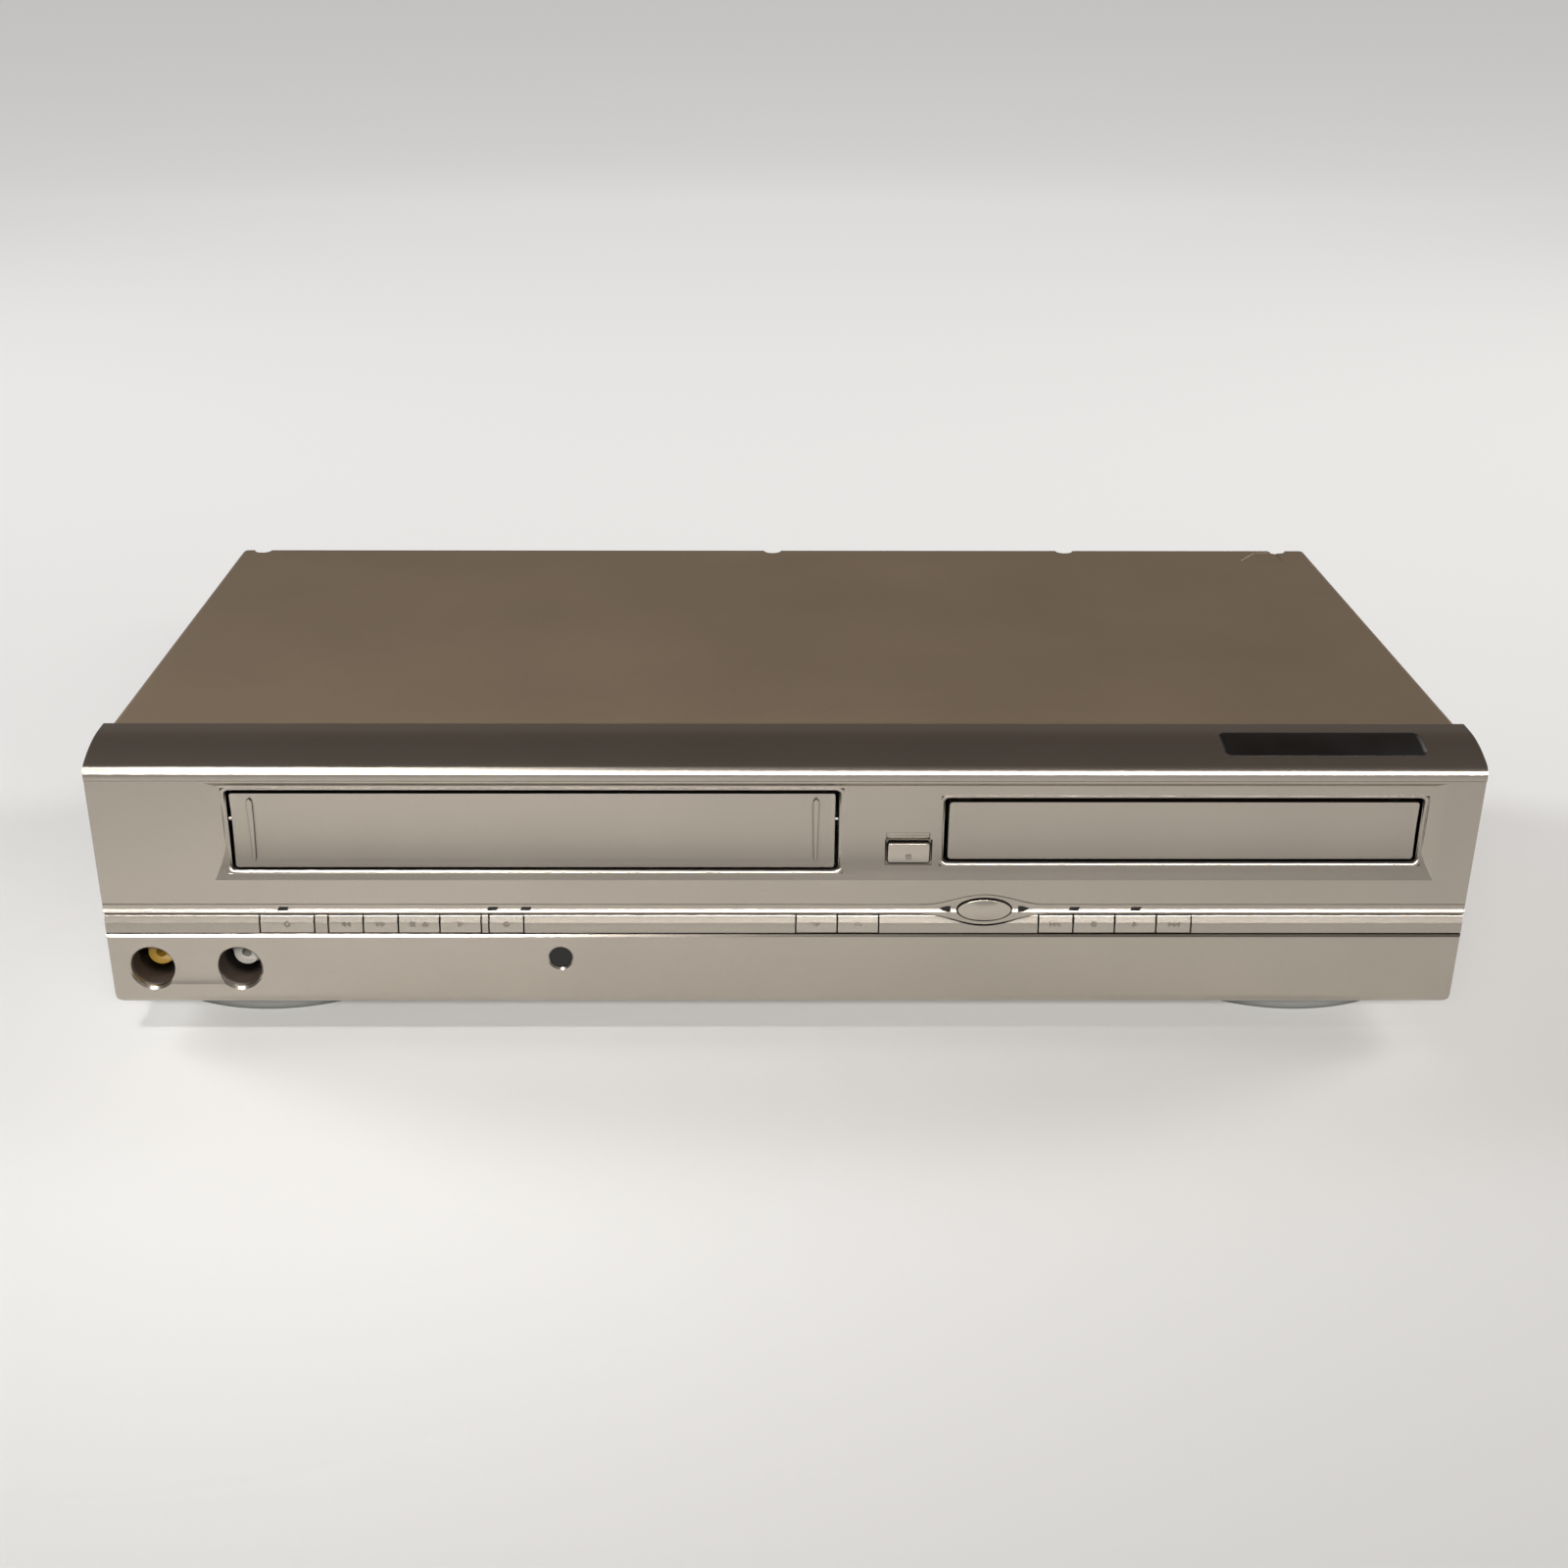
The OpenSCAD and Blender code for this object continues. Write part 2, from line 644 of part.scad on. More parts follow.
module front_panel() {
  color("#b8b3aa") difference() {
    union() {
      difference() {
        intersection() {
          translate([0, face_y, 0]) along_x(-body_w / 2, body_w / 2)
            polygon(panel_profile());
          panel_plan();
          panel_front();
        }
        translate([0, face_y, 0]) along_x(-body_w / 2 + wall, body_w / 2 - wall)
          polygon(cavity_profile());
      }
      // the eye's lower half fills the strip's groove
      along_y(back(ledge_d), back(groove_d + 0.5)) eye_outline(0);
      // bosses that carry the function board
      for (x = board_screw_x)
        rod_y(back(face_wall - eps), back(board_d), x, board_screw_z, board_boss_r);
      // lugs that hold the door's hinge pins
      for (x = [tape_x0 - lug_t - 0.6, tape_x1 + 0.6])
        box([x, back(face_wall - eps), hinge_z - 2 - hinge_r],
          [x + lug_t, back(hinge_d + 2 * hinge_r), hinge_z + 0.5 + hinge_r]);
      // tubes round the jack wells
      for (x = [video_x, audio_x])
        rod_y(back(face_wall - eps), back(well_d), x, jack_z, well_r + well_wall);
    }
    hollow();
    for (x = [tape_x0 - 4, tape_x1])
      rod_x(x, x + 4, back(hinge_d), hinge_z, hinge_r + running);
    mouth([tape_x0, tape_z0], [tape_x1, tape_z1], mouth_w);
    mouth([disc_x0, disc_z0], [disc_x1, disc_z1], mouth_w);
    along_y(back(-2), back(crease_d + line_d)) line_outline();
    // the strip's groove dips round the eye
    along_y(back(-2), back(groove_d)) difference() {
      eye_outline(band_z0 - strip_z1);
      eye_outline(0);
    }
    key_windows();
    along_y(back(-2), back(face_wall + 1)) oval(source_w + 2 * key_gap, source_h + 2 * key_gap);
    open_key_window();
    for (x = lens_x) along_y(back(-2), back(face_wall + 1)) lens_outline(x, 0.1);
    for (s = [-1, 1]) along_y(back(-2), back(face_wall + 1)) drop_outline(s, 0.1);
    rod_y(back(-3), back(face_wall + 1), window_x, window_z, window_r + 0.1);
    flare(window_x, window_z, window_r + 0.1);
    for (x = [video_x, audio_x]) flare(x, jack_z, well_r);
    for (x = [video_x, audio_x]) rod_y(back(-3), back(well_d + 1), x, jack_z, well_r);
    jack_scoop();
  }
}

// Plan of the panel, with rounded upright corners.
module panel_plan() {
  w = body_w / 2;
  translate([0, 0, foot_h - 1]) linear_extrude(body_h) {
    translate([-w, -body_d / 2 + corner_r]) square([body_w, panel_d + 5]);
    translate([-w + corner_r, -body_d / 2 - 1]) square([body_w - 2 * corner_r, corner_r + 5]);
    for (s = [-1, 1])
      translate([s * (w - corner_r), -body_d / 2 + corner_r]) circle(corner_r);
  }
}

// Front view of the panel, with rounded lower corners.
module panel_front() {
  w = body_w / 2;
  low_r = 5;
  along_y(-body_d, 0) {
    translate([-w, foot_h + low_r]) square([body_w, body_h]);
    translate([-w + low_r, foot_h - 1]) square([body_w - 2 * low_r, low_r + 2]);
    for (s = [-1, 1]) translate([s * (w - low_r), foot_h + low_r]) circle(low_r);
  }
}

// Small flare at the mouth of a round hole in the lower panel.
module flare(x, z, r) {
  flare_d = -0.8;
  flare_h = 2;
  translate([x, back(flare_d), z]) rotate([90, 0, 0]) cylinder(h = flare_h, r1 = r, r2 = r + flare_h);
}

module key_window(x, w) {
  box([x - key_gap / 2, back(-3), strip_z0 - 0.5], [x + w + key_gap / 2, back(face_wall + 1), band_z0]);
}

module key_windows() {
  key_window(standby_x, standby_w);
  key_window(tape_keys_x, 2 * narrow_w + 2 * wide_w);
  key_window(record_x, narrow_w);
  key_window(channel_x, 2 * wide_w);
  key_window(disc_keys_x, 2 * narrow_w + 2 * wide_w);
}

open_lip = 0.5;

module open_key_window() {
  mouth([open_x - key_gap, open_z - key_gap], [open_x + open_w + key_gap, open_z + open_h + key_gap],
     open_lip);
  // finger scoop above the key
  translate([0, face_y, 0]) along_x(open_x - 0.7, open_x + open_w + 0.2)
    polygon([[0, open_z + open_h + 1.1], [4.2, open_z + open_h + 1.1],
        [3, open_z + open_h + 3.3], [0, open_z + open_h + 3.3]]);
}

// Shallow channel that joins the two jack wells.
module jack_scoop() {
  scoop_r = 23;
  scoop_d = 0.9;
  rod_x(video_x, audio_x, back(-panel_lead + scoop_d - scoop_r), jack_z, scoop_r);
}

module indicator_lenses() {
  color("#2a1512") {
    for (x = lens_x) along_y(back(crease_d + 0.2), back(board_d - 1.5)) lens_outline(x, 0);
    for (s = [-1, 1]) along_y(back(crease_d + 0.2), back(board_d - 1.5)) drop_outline(s, 0);
  }
}

module infrared_window() {
  color("#1b1012") {
    rod_y(back(-0.6), back(face_wall), window_x, window_z, window_r);
    rod_y(back(face_wall), back(face_wall + 1.2), window_x, window_z, window_r + 1.4);
  }
}

// --- keys ---
module stem(x, z) {
  rod_y(back(2.5), back(stem_d), x, z, stem_r);
}

module key(i) {
  x0 = keys[i][0] + key_gap / 2;
  x1 = keys[i][0] + keys[i][1] - key_gap / 2;
  color("#bdb8ae") {
    translate([0, face_y, 0]) along_x(x0, x1)
      polygon(concat(strip_profile(key_z1, key_z0), [[3.5, key_z0], [3.5, key_z1]]));
    stem((x0 + x1) / 2, (key_z0 + key_z1) / 2);
  }
}

module standby_key() { key(0); }
module rewind_key() { key(1); }
module fast_forward_key() { key(2); }
module stop_eject_key() { key(3); }
module tape_play_key() { key(4); }
module record_key() { key(5); }
module channel_down_key() { key(6); }
module channel_up_key() { key(7); }
module previous_key() { key(8); }
module disc_stop_key() { key(9); }
module disc_play_key() { key(10); }
module next_key() { key(11); }

source_front = -0.9;
source_dome = 50;
source_roll = 14;

module source_key() {
  color("#c4beb4") {
    // domed along its length and more strongly across it
    intersection() {
      along_y(back(source_front - eps), back(3.5)) oval(source_w, source_h);
      translate([source_x, back(source_front + source_dome), source_z])
        sphere(source_dome, $fn = 180);
      rod_x(source_x - source_w, source_x + source_w, back(source_front + source_roll), source_z,
         source_roll);
    }
    stem(source_x, source_z);
  }
}

open_front = 1.5;
open_r = 0.7;
open_dish = 0.35;
open_dish_r = 12;

module open_close_key() {
  color("#bdb8ae") {
    difference() {
      along_y(back(open_front), back(5))
        polygon(rounded([open_x, open_z], [open_x + open_w, open_z + open_h], open_r));
      // the lower part of the face is hollowed, which leaves a ledge above it
      rod_x(open_x - 1, open_x + open_w + 1, back(open_front + open_dish - open_dish_r),
         open_z + open_h * 0.36, open_dish_r);
    }
    stem(open_x + open_w / 2, open_z + open_h / 2);
  }
}

// --- boards behind the front ---
function key_mid(i) = keys[i][0] + keys[i][1] / 2;
key_mid_z = (key_z0 + key_z1) / 2;

module tact_switch(x, z) {
  block(x, 3, board_d - 3.9, board_d, z - 3, z + 3);
  rod_y(back(switch_d), back(board_d - 3.8), x, z, 1.7);
}

module function_board() {
  color("#5d7d3c") {
    difference() {
      union() {
        box([standby_x + 3, back(board_d), board_screw_z - 5],
          [disc_mid + 23, back(board_d + board_t), line_z + 4.8]);
        box([open_x - 4.5, back(board_d), line_z + 3.8],
          [open_x + open_w + 4.5, back(board_d + board_t), open_z + open_h + 4.2]);
      }
      for (x = board_screw_x)
        rod_y(back(board_d - 1), back(board_d + board_t + 1), x, board_screw_z, screw_hole_r);
      // room for the jack wells' tubes
      for (x = [video_x, audio_x])
        rod_y(back(board_d - 1), back(board_d + board_t + 1), x, jack_z, well_r + well_wall + clear);
    }
    for (i = [0:len(keys) - 1]) tact_switch(key_mid(i), key_mid_z);
    tact_switch(source_x, source_z);
    tact_switch(open_x + open_w / 2, open_z + open_h / 2);
    // infrared receiver behind its window
    block(window_x, 3.2, 8.5, board_d, window_z - 3.5, window_z + 3.5);
    // board that carries the two jacks
    box([video_x - 10, back(jack_board_d), foot_h + wall],
      [audio_x + 9, back(jack_board_d + board_t), jack_z + 9.7]);
  }
}

// A phono jack that faces the front: barrel, insulator and square base.
module front_jack(x) {
  difference() {
    union() {
      rod_y(back(jack_tip_d), back(well_d + 1), x, jack_z, phono_r);
      rod_y(back(well_d - 2), back(well_d + eps), x, jack_z, well_r - 0.4);
      block(x, 7, well_d + clear, jack_board_d, jack_z - 7, jack_z + 7);
    }
    rod_y(back(jack_tip_d - 1), back(well_d), x, jack_z, 1.6);
  }
}

module video_jack() { color("#d8b52a") front_jack(video_x); }
module audio_jack() { color("#e8e6e0") front_jack(audio_x); }

// --- cassette door ---
door_x0 = tape_x0 + side_gap;
door_x1 = tape_x1 - side_gap;
door_z0 = tape_z0 + door_gap;
door_z1 = tape_z1 - door_gap + 0.3;
door_back = face_wall + 0.2;
door_proud = 0.2;
ear_t = 2;
boss_r = 2.2;
rib_h = 0.7;
rib_w = 0.8;
door_r = 0.8;
catch_d = 4;
catch_z = hollow_z + 0.5;
catch_r = 0.7;

module cassette_door() {
  color("#b4aea4") difference() {
    union() {
      intersection() {
        translate([0, face_y, 0]) along_x(door_x0, door_x1) difference() {
          translate([0, door_z0]) square([door_back, door_z1 - door_z0]);
          hollow_arc(door_proud);
        }
        along_y(back(0), back(door_back + 1))
          polygon(rounded([door_x0, door_z0], [door_x1, door_z1], door_r));
      }
      // catches in the gaps at the sides
      rod_x(door_x0 - side_gap + clear, door_x0 + 1, back(catch_d), catch_z, catch_r);
      rod_x(door_x1 - 1, door_x1 + side_gap - clear, back(catch_d), catch_z, catch_r);
      for (x = [door_x0 + 0.6, door_x1 - 0.6 - ear_t]) {
        translate([0, face_y, 0]) along_x(x, x + ear_t) polygon([
          [door_back - eps, door_z1 - 6], [door_back - eps, door_z1 - 1],
          [hinge_d - boss_r * 0.8, hinge_z - 1], [hinge_d + boss_r * 0.8, hinge_z - 1],
          [hinge_d + boss_r * 0.8, door_z1 - 3]]);
        rod_x(x, x + ear_t, back(hinge_d), hinge_z, boss_r);
      }
      rod_x(tape_x0 - 3.2, door_x0 + 1, back(hinge_d), hinge_z, hinge_r);
      rod_x(door_x1 - 1, tape_x1 + 3.2, back(hinge_d), hinge_z, hinge_r);
    }
    // the ribs of the back are left by shallow pockets
    for (x = [door_x0 + 8, -30])
      box([x, back(door_back - 1), door_z0 + 4], [x + 36, back(door_back + 1), door_z1 - 4]);
  }
  color("#b4aea4") for (x = [door_x0 + 6.1, door_x1 - 6]) grip_rib(x);
}

// Tapered rib that stands on the door's hollow face.
module grip_rib(x) {
  intersection() {
    translate([0, face_y, 0]) along_x(x - 2 * rib_w, x + 2 * rib_w) difference() {
      hollow_arc(door_proud - 0.1);
      hollow_arc(door_proud + rib_h);
    }
    along_y(back(-1), back(face_wall)) polygon([
      [x - rib_w, door_z1 - 2.6], [x, door_z1 - 1.6], [x + rib_w, door_z1 - 2.6],
      [x + rib_w / 2, door_z0 + 3], [x, door_z0 + 2], [x - rib_w / 2, door_z0 + 3]]);
  }
}

// Coil spring round the left hinge pin, with one leg on the panel.
module door_spring() {
  wire_r = 0.22;
  coil_r = hinge_r + wire_r + running;
  color("#c8c8c8") {
    for (i = [0:1])
      translate([tape_x0 - 0.25 + i * 0.6, back(hinge_d), hinge_z]) rotate([0, 90, 0])
        rotate_extrude() translate([coil_r, 0]) circle(wire_r, $fn = 16);
    rod_z(hinge_z - 7, hinge_z, [tape_x0 + 0.05, back(hinge_d - coil_r)], wire_r);
  }
}

// --- tape deck ---
deck_z0 = floor_z + 19.5;
deck_top = deck_z0 + 1.5;
deck_w2 = cassette_w / 2 + 7;
deck_d0 = 40;
deck_d1 = rear_d - 22.5;
deck_post_in = 6;
drum_d = deck_d1 - 36;
drum_p = [deck_x, back(drum_d)];
drum_flange = 3;
capstan_p = [deck_x + 58, back(drum_d - 40)];
capstan_r = 1.5;
bearing_r = 4.5;
reel_d = 67;
reel_post_r = 2;
clutch_p = [deck_x, back(78)];
belt_t = 1.2;
capstan_pulley_r = 7;
clutch_pulley_r = 13;
pinch_p = [deck_x + 81, back(drum_d - 26)];
pinch_arm_l = 27;
pinch_r = 8;
pinch_swing = 35;
guide_start = [24, drum_d - 46];
guide_end = [38.8, drum_d - 4];
holder_in = cassette_w / 2 + 1.2;
slider_in = holder_in + 2.3;
guide_plate_in = slider_in + 1.5;
guide_t = 1.5;
thin = 1;
pin_r = 1.45;
pin_play = 0.15;
slider_pin_z = tape_z0 + 15;
slider_pin_d = [54, 66];
holder_pin_z = tape_z0 + 23;
holder_pin_d = [48, 72];
holder_d0 = 42;
holder_d1 = 80;
rail_w = 20;
holder_floor = tape_z0 - thin;
holder_top = tape_z0 + cassette_h + thin;
drop_travel = holder_floor - deck_top - seat_h;

// Where the pinch roller stands when it presses on the capstan: the third corner of the
// triangle of pivot, capstan and roller.
pinch_base = norm(capstan_p - pinch_p);
pinch_reach = pinch_r + capstan_r + clear;
pinch_play = atan2(capstan_p.y - pinch_p.y, capstan_p.x - pinch_p.x) + 360
  - acos((pow(pinch_arm_l, 2) + pow(pinch_base, 2) - pow(pinch_reach, 2))
     / (2 * pinch_arm_l * pinch_base));
pinch_rest = pinch_play - pinch_swing;
roller_p = pinch_p + pinch_arm_l * [cos(pinch_rest), sin(pinch_rest)];

// Outline with round ends between two points: a bar, or the slot that a pin runs in.
module link(a, b, r) {
  v = b - a;
  way = atan2(v.y, v.x);
  polygon(concat(arc(a, r, way + 90, way + 270, 12), arc(b, r, way - 90, way + 90, 12)));
}

function guide_at(s, p) = [deck_x + s * p.x, back(p.y)];
function reel_at(s) = [deck_x + s * reel_pitch / 2, back(reel_d)];

deck_post_r = 3.5;
deck_posts = [for (s = [-1, 1], d = [deck_d0 + deck_post_in, deck_d1 - deck_post_in])
  [deck_x + s * (deck_w2 - deck_post_in), back(d)]];

module tape_deck() {
  color("#c9c6bd") difference() {
    union() {
      translate([0, 0, deck_z0]) linear_extrude(deck_top - deck_z0) difference() {
        translate([deck_x - deck_w2, back(deck_d0)])
          square([2 * deck_w2, deck_d1 - deck_d0]);
        translate(drum_p) circle(drum_r + 1);
        translate(capstan_p) circle(bearing_r + 0.2);
        for (s = [-1, 1]) link(guide_at(s, guide_start), guide_at(s, guide_end), 1.8);
      }
      for (p = deck_posts) rod_z(floor_z, deck_z0 + eps, p, deck_post_r);
      for (s = [-1, 1])
        rod_z(deck_top - eps, deck_top + 15, reel_at(s), reel_post_r);
      rod_z(deck_top - eps, deck_top + 10, pinch_p, reel_post_r);
      rod_z(drive_z - 0.6, deck_z0 + eps, clutch_p, capstan_r);
    }
  }
}

module carriage_guides() {
  color("#b9bcc0") for (s = [-1, 1]) {
    x0 = side_x(deck_x, s, guide_plate_in, guide_t);
    translate([0, face_y, 0]) along_x(x0, x0 + guide_t) difference() {
      polygon([[holder_d0, deck_top], [132, deck_top], [132, tape_z0], [122, tape_z0 + cassette_h + 1],
          [holder_d0, tape_z0 + cassette_h + 1]]);
      link([slider_pin_d[0] - 1, slider_pin_z], [slider_pin_d[1] + load_travel + 1, slider_pin_z],
        pin_r + pin_play);
      for (d = [50, 84]) translate([d, deck_top + 6]) square([26, slider_pin_z - deck_top - 14]);
    }
    // foot that screws to the deck
    side_block(deck_x, s, guide_plate_in - 8, 8, 60, 72, deck_top, deck_top + 1.2);
  }
}

module carriage_slider() {
  color("#8d9297") {
    for (s = [-1, 1]) {
      x0 = side_x(deck_x, s, slider_in, thin);
      translate([0, face_y, 0]) along_x(x0, x0 + thin) difference() {
        translate([holder_d0 + 1, tape_z0 + 1]) square([34, cassette_h + 3]);
        for (d = holder_pin_d)
          link([d, holder_pin_z - drop_travel], [d, holder_pin_z], pin_r + pin_play);
      }
      pin_l = guide_plate_in + guide_t - slider_in - thin + 0.4 + eps;
      xp = side_x(deck_x, s, slider_in + thin - eps, pin_l);
      for (d = slider_pin_d) rod_x(xp, xp + pin_l, back(d), slider_pin_z, pin_r);
    }
    // bridge that ties the two sides together
    block(deck_x, slider_in + thin, 69, 77, holder_top + 2, holder_top + 2 + thin);
  }
}

module cassette_carriage() {
  color("#a9adb1") {
    for (s = [-1, 1]) {
      side_block(deck_x, s, holder_in, thin, holder_d0, holder_d1, holder_floor, holder_top);
      side_block(deck_x, s, holder_in - rail_w, rail_w, holder_d0, holder_d1, holder_floor,
           holder_floor + thin);
      side_block(deck_x, s, holder_in - rail_w, rail_w, holder_d1 - eps, holder_d1 + thin,
           holder_floor, holder_floor + 8);
      pin_l = slider_in - holder_in + 0.3 + eps;
      xp = side_x(deck_x, s, holder_in + thin - eps, pin_l);
      for (d = holder_pin_d) rod_x(xp, xp + pin_l, back(d), holder_pin_z, pin_r);
    }
    difference() {
      block(deck_x, holder_in + thin, holder_d0, holder_d1, holder_top - eps, holder_top + thin);
      for (x = [-70, 8])
        box([deck_x + x, back(holder_d0 + 8), holder_top - 1],
          [deck_x + x + 62, back(holder_d1 - 8), holder_top + thin + 1]);
    }
  }
}

module drum_place() {
  translate([drum_p.x, drum_p.y, deck_top]) rotate([drum_tilt, 0, 0]) children();
}

flange_t = 1.5;
lower_drum_h = 17;
drum_ledge_h = 6;
upper_drum_h = 18;
drum_shaft_r = 2;

// Fixed lower drum, with the ledge that the tape's edge follows.
module drum_base() {
  color("#c4c6c8") {
    difference() {
      union() {
        rod_z(deck_top, deck_top + flange_t, drum_p, drum_r + drum_flange);
        drum_place() translate([0, 0, -4]) {
          cylinder(h = drum_ledge_h + 4, r = drum_r);
          cylinder(h = lower_drum_h + 4, r = drum_r - 0.5);
        }
      }
      drum_place() translate([0, 0, -6])
        cylinder(h = lower_drum_h + 10, r = drum_shaft_r + running);
    }
  }
}

// Spinning upper drum with its four head windows and the motor's rotor on top.
module head_drum() {
  color("#d9dadb") drum_place() {
    difference() {
      union() {
        translate([0, 0, lower_drum_h + clear]) cylinder(h = upper_drum_h, r = drum_r - 0.2);
        translate([0, 0, lower_drum_h + clear + upper_drum_h - eps])
          cylinder(h = 5, r = drum_r * 0.6);
      }
      for (a = [0:90:270]) rotate(a)
        translate([drum_r - 3, -2.5, lower_drum_h]) cube([4, 5, 3.5]);
      translate([0, 0, lower_drum_h + upper_drum_h + 3]) cylinder(h = 5, r = 8);
    }
    translate([0, 0, -3]) cylinder(h = lower_drum_h + 5, r = drum_shaft_r);
  }
}

drive_t = 4;
drive_z = floor_z + 10.6;
motor_z = drive_z + drive_t + 0.4;
flywheel_r = 22;
flywheel_t = 3.4;
bearing_top = deck_top + 10;
capstan_top = deck_top + 29;
belt_z = drive_z + (drive_t - belt_t) / 2;

module capstan_motor() {
  color("#7d8288") difference() {
    union() {
      rod_z(motor_z, deck_z0, capstan_p, flywheel_r - 1);
      rod_z(motor_z, bearing_top, capstan_p, bearing_r);
    }
    rod_z(motor_z - 1, bearing_top + 1, capstan_p, capstan_r + running);
  }
}

module capstan() {
  color("#dedfe0") {
    rod_z(drive_z - flywheel_t, capstan_top, capstan_p, capstan_r);
    rod_z(drive_z - flywheel_t, drive_z, capstan_p, flywheel_r);
    pulley(capstan_p, capstan_pulley_r, drive_z - eps, drive_z + drive_t);
  }
}

// Flat-belt pulley with two flanges, its running face at radius r.
module pulley(p, r, z0, z1) {
  rod_z(z0, z1, p, r);
  rod_z(z0, z0 + 0.7, p, r + 1.6);
  rod_z(z1 - 0.7, z1, p, r + 1.6);
}

module clutch_pulley() {
  color("#e7e4da") difference() {
    pulley(clutch_p, clutch_pulley_r, drive_z, drive_z + drive_t);
    rod_z(drive_z - 1, drive_z + drive_t + 1, clutch_p, capstan_r + running);
  }
}

// Outline of a belt's loop round two pulleys: an arc round each, joined by the tangents.
module belt_outline(a, ra, b, rb) {
  v = b - a;
  turn = acos((ra - rb) / norm(v));
  way = atan2(v.y, v.x);
  polygon(concat(arc(a, ra, way + turn, way + 360 - turn, 30), arc(b, rb, way - turn, way + turn, 24)));
}

module belt(a, ra, b, rb, z) {
  translate([0, 0, z]) linear_extrude(belt_t) difference() {
    belt_outline(a, ra + running + belt_t, b, rb + running + belt_t);
    belt_outline(a, ra + running, b, rb + running);
  }
}

module reel_belt() {
  color("#222222") belt(capstan_p, capstan_pulley_r, clutch_p, clutch_pulley_r, belt_z);
}

// Reel table: gear-edged disc and the three-spline spindle that drives the cassette's hub.
module reel(p) {
  difference() {
    union() {
      rod_z(deck_top + 0.6, deck_top + 3.4, p, reel_r);
      rod_z(deck_top + 0.6, deck_top + 16, p, 5.5);
      for (a = [0, 120, 240])
        translate([p.x, p.y, deck_top + 3]) rotate(a) translate([0, -0.9, 0]) cube([7.6, 1.8, 11]);
    }
    rod_z(deck_top, deck_top + 17, p, reel_post_r + running);
    for (a = [0:10:350])
      translate([p.x, p.y, deck_top]) rotate(a) translate([reel_r - 0.9, -0.6, 0]) cube([2, 1.2, 2]);
  }
}

module supply_reel() { color("#2d2d2f") reel(reel_at(-1)); }
module takeup_reel() { color("#2d2d2f") reel(reel_at(1)); }

// Sliding block with the flanged roller that draws the tape round the drum.
module guide_block(s) {
  p = guide_at(s, guide_start);
  v = guide_at(s, guide_end) - p;
  translate([p.x, p.y, deck_top]) {
    rotate(atan2(v.y, v.x)) translate([-3.5, -3.5, clear]) cube([7, 7, 4]);
    translate([0, 0, -2.5]) cylinder(h = 3, r = 1.5);
    cylinder(h = 24, r = 1.4);
    translate([0, 0, 7]) cylinder(h = 1.2, r = 3.4);
    translate([0, 0, 8]) cylinder(h = 13, r = 2.8);
    translate([0, 0, 21]) cylinder(h = 1.2, r = 3.4);
  }
}

module supply_guide() { color("#d5d6d8") guide_block(-1); }
module takeup_guide() { color("#d5d6d8") guide_block(1); }

module pinch_arm() {
  color("#9da1a6") difference() {
    union() {
      translate([0, 0, deck_top + 3]) linear_extrude(2.5) {
        link(pinch_p, roller_p, 3.6);
      }
      rod_z(deck_top + 0.5, deck_top + 9, pinch_p, 4.2);
      rod_z(deck_top + 3, deck_top + 28, roller_p, capstan_r);
    }
    rod_z(deck_top, deck_top + 11, pinch_p, reel_post_r + running);
  }
}

module pinch_roller() {
  color("#26262a") difference() {
    rod_z(deck_top + 11.5, deck_top + 27, roller_p, pinch_r);
    rod_z(deck_top + 10, deck_top + 29, roller_p, capstan_r + running);
  }
}

// Erase head on the supply side; sound and control head on the take-up side.
module tape_heads() {
  color("#bfc2c4") for (h = [[-58, drum_d - 30, 12], [41, drum_d - 32, 8]]) {
    x = deck_x + h[0];
    y = back(h[1]);
    box([x - h[2] / 2, y - 3, deck_top], [x + h[2] / 2, y + 3.5, deck_top + 3]);
    rod_z(deck_top + 3 - eps, deck_top + 24, [x, y + 0.2], 3.1);
  }
}

// --- disc loader ---
loader_w2 = tray_w / 2 + 5;
loader_wall = 2.5;
loader_d0 = 8;
loader_floor = 2;
tray_d0 = 7;
loader_d1 = tray_d0 + tray_l + 25;
tray_z0 = disc_z0 + 4.5;
tray_z1 = tray_z0 + 7;
well_z = tray_z0 + 4;
loader_z0 = tray_z0 - 11;
loader_top = tray_z0 + 19;
loader_foot_z = loader_z0 + 4;
inner_well_r = 40.5;
spindle_slot = 22;
tongue = 2;
rack_x = disc_mid - tray_w / 2 + 5.5;
rack_d0 = tray_d0 + 5;
gear_d = 20;
motor_r = 12;
motor_step = [38, 12];
spindle_d = gear_d + motor_step.y + motor_r + 28;
gear_r = tooth_m * gear_teeth / 2;
gear_p = [rack_x + 1.25 * tooth_m + gear_r, back(gear_d)];
gear_z = tray_z0 - 5;
gear_t = 4.6;
rack_z = gear_z + 1.1;
pulley_z = gear_z - 3.7;
tray_pulley_r = 10.4;
motor_p = gear_p + motor_step;
motor_pulley_r = 3.5;
tray_belt_z = pulley_z + 1.2;
post_in = 6;
post_d = [35, loader_d1 - 6];
traverse_d = loader_d1 - 20;
traverse_z = loader_z0 + 5;
clamp_r = 11.5;
clamp_d_gap = 0.8;

// The traverse parts are drawn level, and stored tipped down so that the tray slides free.
module tipped() {
  translate([0, back(traverse_d), traverse_z]) rotate([lift_angle, 0, 0])
    translate([0, -back(traverse_d), -traverse_z]) children();
}

well_w2 = 37;
bridge_t = 2;

